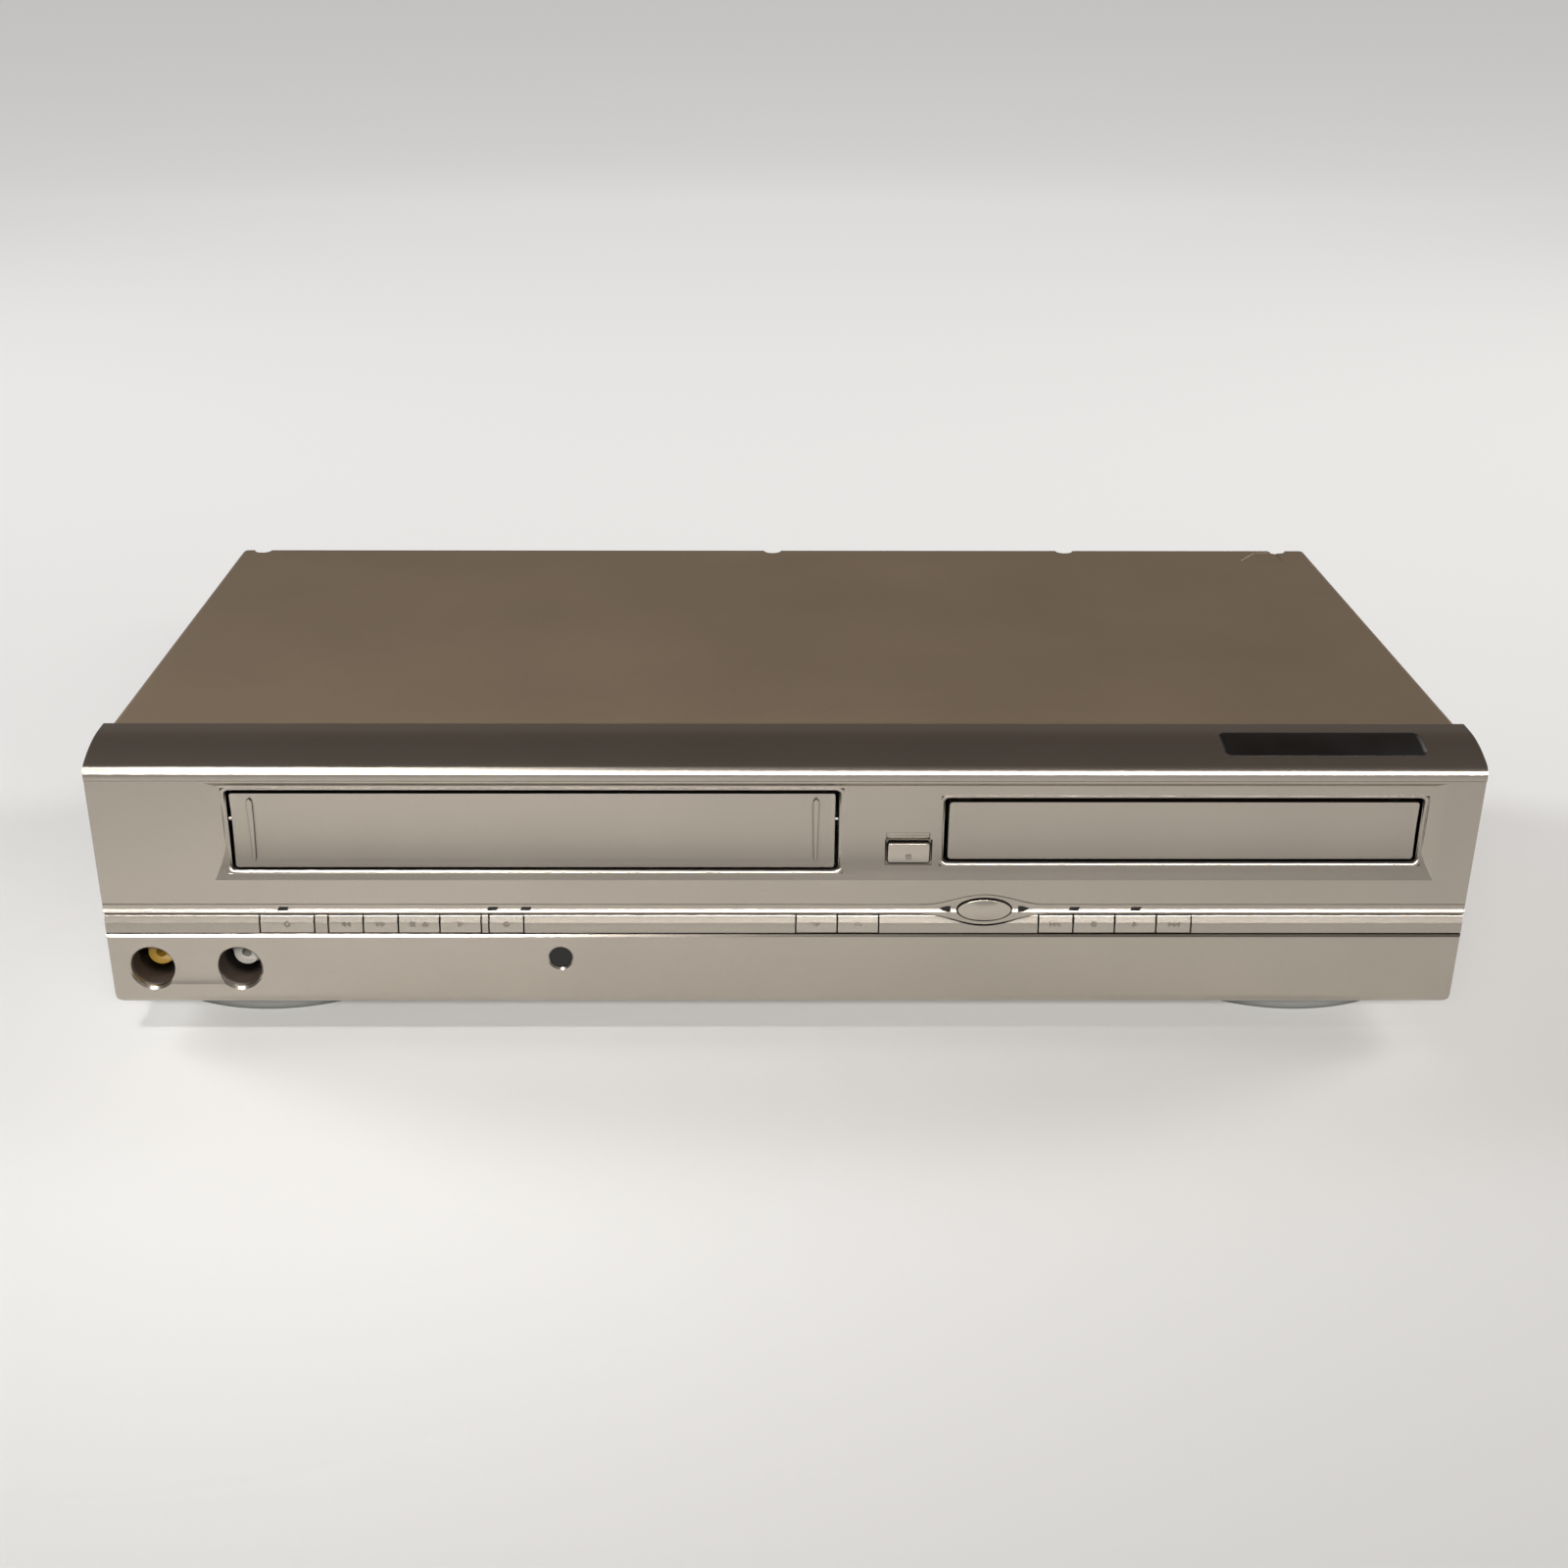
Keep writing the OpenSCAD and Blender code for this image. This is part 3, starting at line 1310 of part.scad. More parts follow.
module loader_frame() {
  color("#e2dfd6") difference() {
    union() {
      difference() {
        block(disc_mid, loader_w2, loader_d0, loader_d1, loader_z0, loader_top);
        block(disc_mid, loader_w2 - loader_wall, loader_d0 - 1, loader_d1 - 2,
           loader_z0 + loader_floor, loader_top + 1);
        block(disc_mid, well_w2, spindle_d - 28, traverse_d + 8, loader_z0 - 1, loader_foot_z);
        rod_z(loader_z0 - 1, loader_foot_z, motor_p, 2.5);
        for (s = [-1, 1], i = [0:3])
          translate([disc_mid + s * loader_w2 - 5, back(100 + i * 20), tray_z1 + 2])
            cube([10, 12, 6]);
      }
      for (s = [-1, 1]) {
        side_block(disc_mid, s, tray_w / 2 - tongue, loader_w2 - tray_w / 2 + tongue - 1,
             loader_d0, loader_d1 - 1, tray_z0 - 2.5, tray_z0 - clear);
        side_block(disc_mid, s, tray_w / 2 + clear, loader_w2 - tray_w / 2 - clear - 1,
             loader_d0, loader_d1 - 1, tray_z0 + 3 + clear, tray_z0 + 4.6);
        // lugs for the traverse hinge pins
        side_block(disc_mid, s, well_w2 - 0.5, 4, traverse_d - 4, traverse_d + 4, loader_z0 + 1,
             traverse_z + 3.5);
      }
      // bridge that carries the clamper
      block(disc_mid, loader_w2 - 1, spindle_d - 20, spindle_d + 20, loader_top - bridge_t, loader_top);
      rod_z(loader_z0, gear_z + gear_t - 0.1, gear_p, capstan_r);
      for (s = [-1, 1], d = post_d)
        rod_z(floor_z, loader_z0 + eps, [disc_mid + s * (loader_w2 - post_in), back(d)], 4);
    }
    rod_z(loader_top - bridge_t - 1, loader_top + 1, [disc_mid, back(spindle_d)], clamp_r + clamp_d_gap);
    rod_x(disc_mid - well_w2 - 10, disc_mid + well_w2 + 10, back(traverse_d), traverse_z,
       hinge_r + running);
  }
}

// Straight rack: teeth of the module's pitch along Y, facing +X, centred on half pitches.
module rack_outline(x, y0, y1, phase) {
  p = PI * tooth_m;
  slope = tan(20);
  first = ceil((y0 - phase) / p);
  last = floor((y1 - phase) / p) - 1;
  translate([x - 2.5, y0]) square([2.5 + eps, y1 - y0]);
  for (k = [first:last]) {
    y = phase + (k + 0.5) * p;
    half = p / 4 - 0.08;
    low = half + 1.25 * tooth_m * slope;
    high = half - tooth_m * slope;
    polygon([[x, y - low], [x + 2.25 * tooth_m, y - high], [x + 2.25 * tooth_m, y + high], [x, y + low]]);
  }
}

module disc_tray() {
  color("#2b2b2d") difference() {
    union() {
      block(disc_mid, tray_w / 2, tray_d0, tray_d0 + tray_l, tray_z0, tray_z1);
      block(disc_mid, tray_w / 2 + tongue, tray_d0 + 3, tray_d0 + tray_l, tray_z0, tray_z0 + 3);
      translate([0, 0, rack_z]) linear_extrude(tray_z0 - rack_z + 1)
        rack_outline(rack_x, back(rack_d0), back(gear_d + tray_travel + 5), back(gear_d));
    }
    rod_z(well_z, tray_z1 + 1, [disc_mid, back(spindle_d)], disc_well_r);
    rod_z(well_z - 1.2, tray_z1 + 1, [disc_mid, back(spindle_d)], inner_well_r);
    translate([0, 0, tray_z0 - 1]) linear_extrude(tray_z1) {
      translate([disc_mid, back(spindle_d)]) circle(spindle_slot);
      translate([disc_mid - spindle_slot, back(spindle_d)]) square([2 * spindle_slot, tray_l]);
    }
    // finger notches at the sides of the disc well
    for (s = [-1, 1])
      rod_z(well_z, tray_z1 + 1, [disc_mid + s * disc_well_r, back(spindle_d - 22)], 9);
  }
}

tray_front_r = 1;

module tray_front() {
  color("#aaa49a") difference() {
    translate([0, face_y, 0]) intersection() {
      along_y(0, tray_d0) polygon(rounded([disc_x0 + side_gap, disc_z0 + door_gap + 0.2],
                        [disc_x1 - side_gap, disc_z1 - door_gap], tray_front_r));
      along_x(disc_x0, disc_x1) difference() {
        translate([0, disc_z0]) square([tray_d0, disc_z1 - disc_z0]);
        hollow_arc(door_proud);
      }
    }
    box([disc_x0 + 4, back(tray_d0 - 1.5), tray_z1 + 1], [disc_x1 - 4, back(tray_d0 + 1), disc_z1 - 3]);
  }
}

// Involute gear outline, four points to a flank.
function inv_deg(rb, r) = let (t = sqrt(max(pow(r / rb, 2) - 1, 0))) t * 180 / PI - atan(t);

module gear_outline(teeth, m, play) {
  rp = m * teeth / 2;
  rb = rp * cos(20);
  tip = rp + m;
  root = rp - 1.25 * m;
  half = 90 / teeth - play / rp * 90 / PI + inv_deg(rb, rp);
  r_at = [for (i = [0:4]) rb + (tip - rb) * i / 4];
  polygon([for (k = [0:teeth - 1]) let (a = 180 + k * 360 / teeth) each concat(
    [root * [cos(a - half), sin(a - half)]],
    [for (r = r_at) r * [cos(a - half + inv_deg(rb, r)), sin(a - half + inv_deg(rb, r))]],
    [for (i = [4:-1:0]) r_at[i] * [cos(a + half - inv_deg(rb, r_at[i])),
                   sin(a + half - inv_deg(rb, r_at[i]))]],
    [root * [cos(a + half), sin(a + half)]])]);
}

module tray_gear() {
  color("#f0ede4") difference() {
    union() {
      translate([gear_p.x, gear_p.y, gear_z]) linear_extrude(gear_t)
        gear_outline(gear_teeth, tooth_m, 0.1);
      pulley(gear_p, tray_pulley_r, pulley_z, gear_z + eps);
    }
    rod_z(pulley_z - 1, gear_z + gear_t + 1, gear_p, capstan_r + running);
  }
}

motor_l = 19;
motor_nose = 1.5;

module tray_motor() {
  color("#a8abad") difference() {
    union() {
      rod_z(loader_z0 - motor_l, loader_z0, motor_p, motor_r);
      rod_z(loader_z0 - motor_l - motor_nose, loader_z0 - motor_l + eps, motor_p, 5);
    }
    rod_z(loader_z0 - 11, loader_z0 + 1, motor_p, 1 + running);
  }
}

module motor_pulley() {
  color("#e8e2c8") {
    pulley(motor_p, motor_pulley_r, pulley_z, gear_z);
    rod_z(loader_z0 - 9, pulley_z + eps, motor_p, 1);
  }
}

module tray_belt() {
  color("#1d1d1f") belt(gear_p, tray_pulley_r, motor_p, motor_pulley_r, tray_belt_z);
}

table_r = 14.2;
rod_x2 = 22;
rod_z_mid = traverse_z + 2.7;
rod_r = 1.5;
sled_l0 = 7;
sled_l1 = 15;
sled_d = spindle_d + table_r + 3.8 + sled_l0;
sled_room = 1;
rod_d0 = sled_d - sled_l0 - sled_room;
rod_d1 = sled_d + sled_travel + sled_l1 + 4;
rod_post = 3;
frame_w2 = 33;

// Sub-frame with the spindle motor's can and the two guide rods of the sled.
module traverse_frame() {
  color("#6f7376") tipped() {
    difference() {
      union() {
        block(disc_mid, frame_w2, spindle_d - 22, traverse_d + 3, traverse_z - 1, traverse_z + 1);
        rod_x(disc_mid - well_w2 - 3, disc_mid + well_w2 + 3, back(traverse_d), traverse_z, hinge_r);
        rod_z(traverse_z - 5.5, traverse_z - 1 + eps, [disc_mid, back(spindle_d)], 13);
        for (s = [-1, 1], d = [rod_d0 - rod_post, rod_d1])
          block(disc_mid + s * rod_x2, 2.6, d, d + rod_post, traverse_z, rod_z_mid + 2.3);
        for (s = [-1, 1])
          rod_y(back(rod_d0 - 2), back(rod_d1 + 1), disc_mid + s * rod_x2, rod_z_mid, rod_r);
      }
      block(disc_mid, frame_w2 - 6, rod_d0 + eps, rod_d1 - eps, traverse_z - 2, traverse_z + 1 + eps);
      rod_z(traverse_z - 11, traverse_z + 9, [disc_mid, back(spindle_d)], 1 + running);
    }
  }
}

hub_r = 7.4;

module turntable() {
  color("#3a3a3d") tipped() translate([disc_mid, back(spindle_d), traverse_z + 1 + clear]) {
    translate([0, 0, -5.3]) cylinder(h = 8, r = 1);
    rotate_extrude() polygon([
      [0, 0], [table_r - 2.2, 0], [table_r - 2.2, 5.7], [table_r, 7.7], [table_r, 9.5],
      [hub_r, 9.5], [hub_r, 10.7], [hub_r - 1, 12.1], [0, 12.1]]);
  }
}

sled_top = rod_z_mid + 4.8;

// Laser sled: a bored boss on one rod, a fork on the other, and the lens on top.
module pickup_sled() {
  color("#4a4d52") tipped() difference() {
    union() {
      block(disc_mid, rod_x2 - 4, sled_d - sled_l0, sled_d + sled_l1, rod_z_mid - 3.2, sled_top);
      box([disc_mid - rod_x2 - 3, back(sled_d - sled_l0 + 1), rod_z_mid - 2.9],
        [disc_mid - rod_x2 + 5, back(sled_d + sled_l1 - 1), rod_z_mid + 2.9]);
      box([disc_mid + rod_x2 - 5, back(sled_d - 1), rod_z_mid - 2.9],
        [disc_mid + rod_x2 + 2, back(sled_d + 7), rod_z_mid + 2.9]);
      rod_z(sled_top - 0.5, sled_top + 0.9, [disc_mid, back(sled_d)], 5);
      translate([disc_mid, back(sled_d), sled_top - 0.5]) intersection() {
        cylinder(h = 3, r = 2.6);
        translate([0, 0, -1]) sphere(3.4);
      }
    }
    rod_y(back(sled_d - 17), back(sled_d + 63), disc_mid - rod_x2, rod_z_mid, rod_r + running);
    box([disc_mid + rod_x2 - 2, back(sled_d - 17), rod_z_mid - rod_r - running],
      [disc_mid + rod_x2 + 4, back(sled_d + 63), rod_z_mid + rod_r + running]);
  }
}

module disc_clamper() {
  color("#cfcac0") translate([disc_mid, back(spindle_d), loader_top + clear]) rotate_extrude() polygon([
    [0, -10.3], [3, -10.3], [3, -7.3], [clamp_r - 1, -7.3], [clamp_r, -8.3], [clamp_r, 0],
    [clamp_r + 3.5, 0], [clamp_r + 3.5, 1.5], [5, 1.5], [4, 2.7], [0, 2.7]]);
}

// --- boards and sockets ---
board_z = floor_z + 4;
board_top = board_z + board_t;
main_d0 = 40;
main_d1 = rear_d - 8.5;
standoff_x = [-chassis_w / 2 + 24.5, tape_x1 + 13.1, chassis_w / 2 - 10.5];

module main_board() {
  color("#4f7a3a") {
    difference() {
      box([-chassis_w / 2 + 4, back(main_d0), board_z], [chassis_w / 2 - 4, back(main_d1), board_top]);
      for (p = deck_posts) rod_z(board_z - 1, board_top + 1, p, deck_post_r + 1);
      for (s = [-1, 1])
        rod_z(board_z - 1, board_top + 1, [disc_mid + s * (loader_w2 - post_in), back(post_d[1])], 5);
    }
    // standoffs
    for (x = standoff_x, d = side_screw_d) rod_z(floor_z, board_z + eps, [x, back(d)], 3);
    translate([disc_mid, back(post_d[0]), board_top - eps]) {
      // large circuits
      box([-67, 25, 0], [-39, 53, 2]);
      box([-25, 65, 0], [-1, 89, 2.4]);
    }
    translate([disc_mid, back(post_d[1]), board_top - eps]) power_parts();
  }
}

// Mains parts on the board below the disc loader, placed from the loader's rear posts.
module power_parts() {
  // smoothing capacitors
  capacitor(47, -34, 9, 24);
  capacitor(25, -34, 6, 20);
  capacitor(25, -16, 5, 16);
  capacitor(41, -56, 5, 14);
  // switching transformer: core, windings
  box([-65, -44, 0], [-33, -16, 4]);
  box([-63, -34, 0], [-35, -26, 26]);
  box([-59, -42, 4 - eps], [-39, -18, 22]);
  // finned heat sink
  box([-19, -34, 0], [9, -32, sink_h]);
  for (i = [0:6]) translate([-19 + i * sink_pitch, -32 - eps, 0]) cube([1.6, 10, sink_h]);
}

sink_h = 24;
sink_pitch = 4.4;

module capacitor(x, d, r, h) {
  translate([x, d, 0]) cylinder(h = h, r = r);
}

tuner_w2 = 11;
tuner_l = 21.5;

// Thin-walled threaded aerial socket, drawn plain at the thread's outer radius.
module tuner() {
  color("#c0c2c0") difference() {
    union() {
      box([tuner_x - tuner_w2, rear_y - tuner_l, board_top],
        [tuner_x + tuner_w2, rear_y - clear, tuner_z[1] + 12]);
      for (z = tuner_z) socket(tuner_x, z, f_r, body_d / 2 - rear_y - rear_t);
    }
    for (z = tuner_z) rod_y(body_d / 2 - 7, body_d / 2 + 1, tuner_x, z, 1.2);
  }
}

// A socket that faces the rear: a collar through the panel, and the barrel outside it.
module socket(x, z, r, reach) {
  rod_y(rear_y - 1, rear_y + rear_t, x, z, r + collar_t);
  rod_y(rear_y - 1, rear_y + rear_t + reach, x, z, r);
}

block_l = 14;
jack_bore = 1.6;

module rear_jacks() {
  color("#2a2a2c") difference() {
    union() {
      box([av_x[0] - jack_step / 2, rear_y - block_l, board_top],
        [av_x[2] + jack_step / 2, rear_y - clear, av_z[0] + jack_step / 2]);
      for (x = av_x, z = av_z) socket(x, z, phono_r, phono_len);
      box([dvd_x[0] - jack_step / 2, rear_y - block_l, board_top],
        [dvd_x[4] + jack_step / 2, rear_y - clear, dvd_z + jack_step / 2]);
      for (x = dvd_x) socket(x, dvd_z, phono_r, phono_len);
    }
    for (x = av_x, z = av_z) rod_y(rear_y + 2 * rear_t, body_d / 2 + 1, x, z, jack_bore);
    for (x = dvd_x) rod_y(rear_y + 2 * rear_t, body_d / 2 + 1, x, dvd_z, jack_bore);
  }
}

// Gland that the mains lead passes through.
module cord_gland() {
  color("#1f1f21") translate([gland_x, rear_y, gland_z]) rotate([-90, 0, 0]) rotate_extrude()
    polygon([
      [3.3, -4], [7, -4], [7, 0], [gland_r - 0.1, 0], [gland_r - 0.1, rear_t],
      [7.6, rear_t], [7.6, rear_t + 2.5], [5.4, rear_t + 3.2], [4.6, rear_t + 8],
      [3.3, rear_t + 8]]);
}

top_cover();
bottom_chassis();
front_panel();
rear_panel();
front_feet();
rear_feet();
cover_screws();
indicator_lenses();
infrared_window();
function_board();
video_jack();
audio_jack();
cassette_door();
door_spring();
standby_key();
rewind_key();
fast_forward_key();
stop_eject_key();
tape_play_key();
record_key();
channel_down_key();
channel_up_key();
previous_key();
disc_stop_key();
disc_play_key();
next_key();
source_key();
open_close_key();
tape_deck();
carriage_guides();
carriage_slider();
cassette_carriage();
drum_base();
head_drum();
capstan_motor();
capstan();
supply_reel();
takeup_reel();
clutch_pulley();
reel_belt();
supply_guide();
takeup_guide();
pinch_arm();
pinch_roller();
tape_heads();
loader_frame();
disc_tray();
tray_front();
tray_gear();
tray_motor();
motor_pulley();
tray_belt();
traverse_frame();
turntable();
pickup_sled();
disc_clamper();
main_board();
tuner();
rear_jacks();
cord_gland();
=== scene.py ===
import bpy
import bmesh
import math
from mathutils import Matrix, Vector
from mathutils.bvhtree import BVHTree


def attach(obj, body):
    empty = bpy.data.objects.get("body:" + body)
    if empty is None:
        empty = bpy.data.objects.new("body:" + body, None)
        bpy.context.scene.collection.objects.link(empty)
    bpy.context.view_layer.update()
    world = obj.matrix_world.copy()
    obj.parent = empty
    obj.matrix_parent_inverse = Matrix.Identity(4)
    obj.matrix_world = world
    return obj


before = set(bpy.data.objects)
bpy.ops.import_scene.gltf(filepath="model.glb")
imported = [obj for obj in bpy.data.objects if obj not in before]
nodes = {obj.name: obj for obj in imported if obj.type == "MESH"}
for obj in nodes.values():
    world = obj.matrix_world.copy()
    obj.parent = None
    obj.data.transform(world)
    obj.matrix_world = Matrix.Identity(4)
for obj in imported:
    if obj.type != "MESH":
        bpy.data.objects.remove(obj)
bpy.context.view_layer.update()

# ---------------------------------------------------------------- camera

CAM_AT = Vector((-0.0158, -0.7042, 0.3336))
CAM_YAW = math.radians(0.30)
CAM_PITCH = math.radians(26.55)
CAM_ROLL = math.radians(-0.14)
CAM_SENSOR = 36.0
CAM_LENS = 47.17
CAM_SHIFT = (0.025, 0.09375)


def make_camera():
    """The camera of the photograph, as fitted to it."""
    fwd = Vector((math.sin(CAM_YAW) * math.cos(CAM_PITCH),
                  math.cos(CAM_YAW) * math.cos(CAM_PITCH),
                  -math.sin(CAM_PITCH)))
    right = Vector((math.cos(CAM_YAW), -math.sin(CAM_YAW), 0.0))
    down = fwd.cross(right)
    rolled_right = math.cos(CAM_ROLL) * right + math.sin(CAM_ROLL) * down
    rolled_down = -math.sin(CAM_ROLL) * right + math.cos(CAM_ROLL) * down
    data = bpy.data.cameras.new("photo_camera")
    data.sensor_fit = "HORIZONTAL"
    data.sensor_width = CAM_SENSOR
    data.lens = CAM_LENS
    data.shift_x, data.shift_y = CAM_SHIFT
    data.clip_start = 0.01
    data.clip_end = 100.0
    cam = bpy.data.objects.new("photo_camera", data)
    axes = Matrix((rolled_right, -rolled_down, -fwd)).transposed()
    cam.matrix_world = Matrix.Translation(CAM_AT) @ axes.to_4x4()
    bpy.context.scene.collection.objects.link(cam)
    bpy.context.scene.camera = cam


make_camera()

# ---------------------------------------------------------------- colours


def lin(r, g, b):
    """A colour written as 0-255 screen values, as the linear values that nodes take."""
    out = []
    for v in (r, g, b):
        c = v / 255.0
        out.append(c / 12.92 if c <= 0.04045 else ((c + 0.055) / 1.055) ** 2.4)
    return (out[0], out[1], out[2], 1.0)


def times_grey(colour, factor, lift=0.0):
    """A linear colour made lighter or darker, and held at white."""
    return tuple(min(1.0, c * factor + lift) for c in colour[:3]) + (1.0,)


# ---------------------------------------------------------------- material kit


class Mat:
    """One node material: a shader, and the small nets that vary its colour, gloss and relief."""

    def __init__(self, name, rough, metallic=0.0, coat=0.0, coat_rough=0.1):
        self.mat = bpy.data.materials.new(name)
        self.mat.use_nodes = True
        self.nt = self.mat.node_tree
        self.bsdf = self.nt.nodes["Principled BSDF"]
        self.set("Metallic", metallic)
        self.set("Roughness", rough)
        self.set("IOR", 1.5)
        self.set("Coat Weight", coat)
        self.set("Coat Roughness", coat_rough)
        self.coord = self.nt.nodes.new("ShaderNodeTexCoord").outputs["Object"]
        self.relief = None

    def set(self, socket, value):
        self.bsdf.inputs[socket].default_value = value

    def link(self, a, b):
        self.nt.links.new(a, b)

    def scaled(self, sx, sy, sz):
        """The object's coordinates, stretched along each axis."""
        node = self.nt.nodes.new("ShaderNodeMapping")
        node.inputs["Scale"].default_value = (sx, sy, sz)
        self.link(self.coord, node.inputs["Vector"])
        return node.outputs["Vector"]

    def noise(self, scale, detail=2.0, rough=0.5, at=None):
        """Noise of about that many waves per metre."""
        node = self.nt.nodes.new("ShaderNodeTexNoise")
        node.inputs["Scale"].default_value = scale
        node.inputs["Detail"].default_value = detail
        node.inputs["Roughness"].default_value = rough
        self.link(at or self.coord, node.inputs["Vector"])
        return node.outputs["Fac"]

    def cells(self, scale, out="Distance"):
        """Random cells, about that many per metre."""
        node = self.nt.nodes.new("ShaderNodeTexVoronoi")
        node.inputs["Scale"].default_value = scale
        self.link(self.coord, node.inputs["Vector"])
        return node.outputs[out]

    def ramp(self, fac, lo, hi, a, b):
        """a where fac is at or below lo, b where it is at or above hi."""
        node = self.nt.nodes.new("ShaderNodeMapRange")
        node.inputs["From Min"].default_value = lo
        node.inputs["From Max"].default_value = hi
        node.inputs["To Min"].default_value = a
        node.inputs["To Max"].default_value = b
        self.link(fac, node.inputs["Value"])
        return node.outputs["Result"]

    def mix(self, fac, a, b):
        """a where fac is 0, b where it is 1; each is a colour or another node's output."""
        node = self.nt.nodes.new("ShaderNodeMix")
        node.data_type = "RGBA"
        self.link(fac, node.inputs[0])
        for socket, value in ((node.inputs[6], a), (node.inputs[7], b)):
            if isinstance(value, tuple):
                socket.default_value = value
            else:
                self.link(value, socket)
        return node.outputs[2]

    def times(self, a, b):
        node = self.nt.nodes.new("ShaderNodeMath")
        node.operation = "MULTIPLY"
        self.link(a, node.inputs[0])
        self.link(b, node.inputs[1])
        return node.outputs[0]

    def first_channel(self, out):
        node = self.nt.nodes.new("ShaderNodeSeparateColor")
        self.link(out, node.inputs[0])
        return node.outputs[0]

    def tinted(self, base, tone):
        """base, a colour, times tone, a grey value near 1."""
        node = self.nt.nodes.new("ShaderNodeVectorMath")
        node.operation = "SCALE"
        node.inputs[0].default_value = base[:3]
        self.link(tone, node.inputs["Scale"])
        return node.outputs["Vector"]

    def paint_crevice_shade(self, reach, low, high, dark):
        """Painted shade in gaps: a colour factor from ambient occlusion, dark deep inside them,
        and 1 out in the open.
        """
        ao = self.nt.nodes.new("ShaderNodeAmbientOcclusion")
        ao.samples = 8
        ao.inputs["Distance"].default_value = reach
        return self.ramp(ao.outputs["AO"], low, high, dark, 1.0)

    def soften(self, size):
        """Rounds the shading of every sharp edge by that radius, in metres."""
        bevel = self.nt.nodes.new("ShaderNodeBevel")
        bevel.samples = 8
        bevel.inputs["Radius"].default_value = size
        self.relief = bevel.outputs["Normal"]
        self.link(self.relief, self.bsdf.inputs["Normal"])

    def color(self, out):
        self.link(out, self.bsdf.inputs["Base Color"])

    def roughness(self, out):
        self.link(out, self.bsdf.inputs["Roughness"])

    def bump(self, out, strength, distance):
        """Relief of that height in metres, on top of the softened edges."""
        node = self.nt.nodes.new("ShaderNodeBump")
        node.inputs["Strength"].default_value = strength
        node.inputs["Distance"].default_value = distance
        self.link(out, node.inputs["Height"])
        if self.relief is not None:
            self.link(self.relief, node.inputs["Normal"])
        self.relief = node.outputs["Normal"]
        self.link(self.relief, self.bsdf.inputs["Normal"])


def silver_paint(name, base, metallic=0.93, rough=0.25, round_by=0.0):
    """Moulded plastic sprayed with a silver paint: fine grain, faint clouding, and painted shade
    that darkens its gaps.
    """
    m = Mat(name, metallic=metallic, rough=rough)
    if round_by:
        m.soften(round_by)
    sparkle = m.ramp(m.noise(1300.0, 0.0), 0.3, 0.7, 0.985, 1.015)
    cloud = m.ramp(m.noise(26.0, 1.0), 0.3, 0.7, 0.98, 1.02)
    # painted shade: ambient occlusion darkens the paint's colour deep in gaps and crevices
    gaps = m.paint_crevice_shade(reach=0.003, low=0.3, high=0.85, dark=0.05)
    m.color(m.tinted(base, m.times(m.times(sparkle, cloud), gaps)))
    m.roughness(m.ramp(m.noise(9.0, 1.0), 0.3, 0.7, rough - 0.008, rough + 0.012))
    return m


def sheet_paint(name, base, rough, metallic, peel=0.16):
    """Sheet steel under a satin spray paint: fine orange peel and faint clouding."""
    m = Mat(name, metallic=metallic, rough=rough)
    m.soften(0.0005)
    cloud = m.ramp(m.noise(14.0, 4.0, 0.55), 0.3, 0.7, 0.94, 1.05)
    grain = m.ramp(m.noise(2600.0, 1.0), 0.3, 0.7, 0.93, 1.07)
    m.color(m.tinted(base, m.times(cloud, grain)))
    m.roughness(m.ramp(m.noise(30.0, 3.0), 0.3, 0.7, rough - 0.015, rough + 0.02))
    m.bump(m.noise(1500.0, 2.0), peel, 0.00005)
    return m


def moulded(name, base, rough, grain=1400.0, depth=0.12, round_by=0.0004):
    """Self-coloured moulded plastic: fine spark texture and slight flow clouding."""
    m = Mat(name, rough=rough)
    m.soften(round_by)
    m.color(m.tinted(base, m.ramp(m.noise(18.0, 3.0), 0.3, 0.7, 0.94, 1.05)))
    m.roughness(m.ramp(m.noise(60.0, 3.0), 0.3, 0.7, rough - 0.06, rough + 0.08))
    m.bump(m.noise(grain, 2.0), depth, 0.00008)
    return m


def metal(name, base, rough, brushed=(1.0, 1.0, 1.0), scale=700.0, depth=0.08, spangle=False):
    """Bare or plated metal: rolling or turning marks, and zinc spangle where it has one."""
    m = Mat(name, metallic=1.0, rough=rough)
    m.soften(0.0003)
    lines = m.noise(scale, 3.0, 0.6, at=m.scaled(*brushed))
    tone = m.ramp(lines, 0.3, 0.7, 0.9, 1.06)
    if spangle:
        patch = m.first_channel(m.cells(130.0, out="Color"))
        tone = m.times(tone, m.ramp(patch, 0.0, 1.0, 0.86, 1.08))
    m.color(m.tinted(base, tone))
    m.roughness(m.ramp(lines, 0.3, 0.7, rough - 0.06, rough + 0.1))
    m.bump(lines, depth, 0.00004)
    return m


def board(name, base):
    """A lacquered circuit board: copper runs under the lacquer, and pads."""
    m = Mat(name, rough=0.35, coat=0.4, coat_rough=0.2)
    runs = m.nt.nodes.new("ShaderNodeTexBrick")
    runs.inputs["Scale"].default_value = 110.0
    runs.inputs["Mortar Size"].default_value = 0.035
    runs.inputs["Color1"].default_value = base
    runs.inputs["Color2"].default_value = times_grey(base, 1.35)
    runs.inputs["Mortar"].default_value = times_grey(base, 0.55)
    m.link(m.scaled(1.0, 0.35, 1.0), runs.inputs["Vector"])
    pads = m.ramp(m.cells(260.0), 0.12, 0.16, 1.0, 0.0)
    m.color(m.mix(pads, runs.outputs["Color"], lin(168, 160, 120)))
    m.bump(runs.outputs["Fac"], 0.2, 0.00004)
    return m


def rubber(name, base):
    """Black rubber, dusty in patches."""
    m = Mat(name, rough=0.75)
    m.soften(0.0003)
    dust = m.ramp(m.noise(70.0, 4.0, 0.65), 0.45, 0.75, 0.0, 0.35)
    m.color(m.mix(dust, base, times_grey(base, 2.6, 0.01)))
    m.bump(m.noise(1700.0, 2.0), 0.25, 0.00008)
    return m


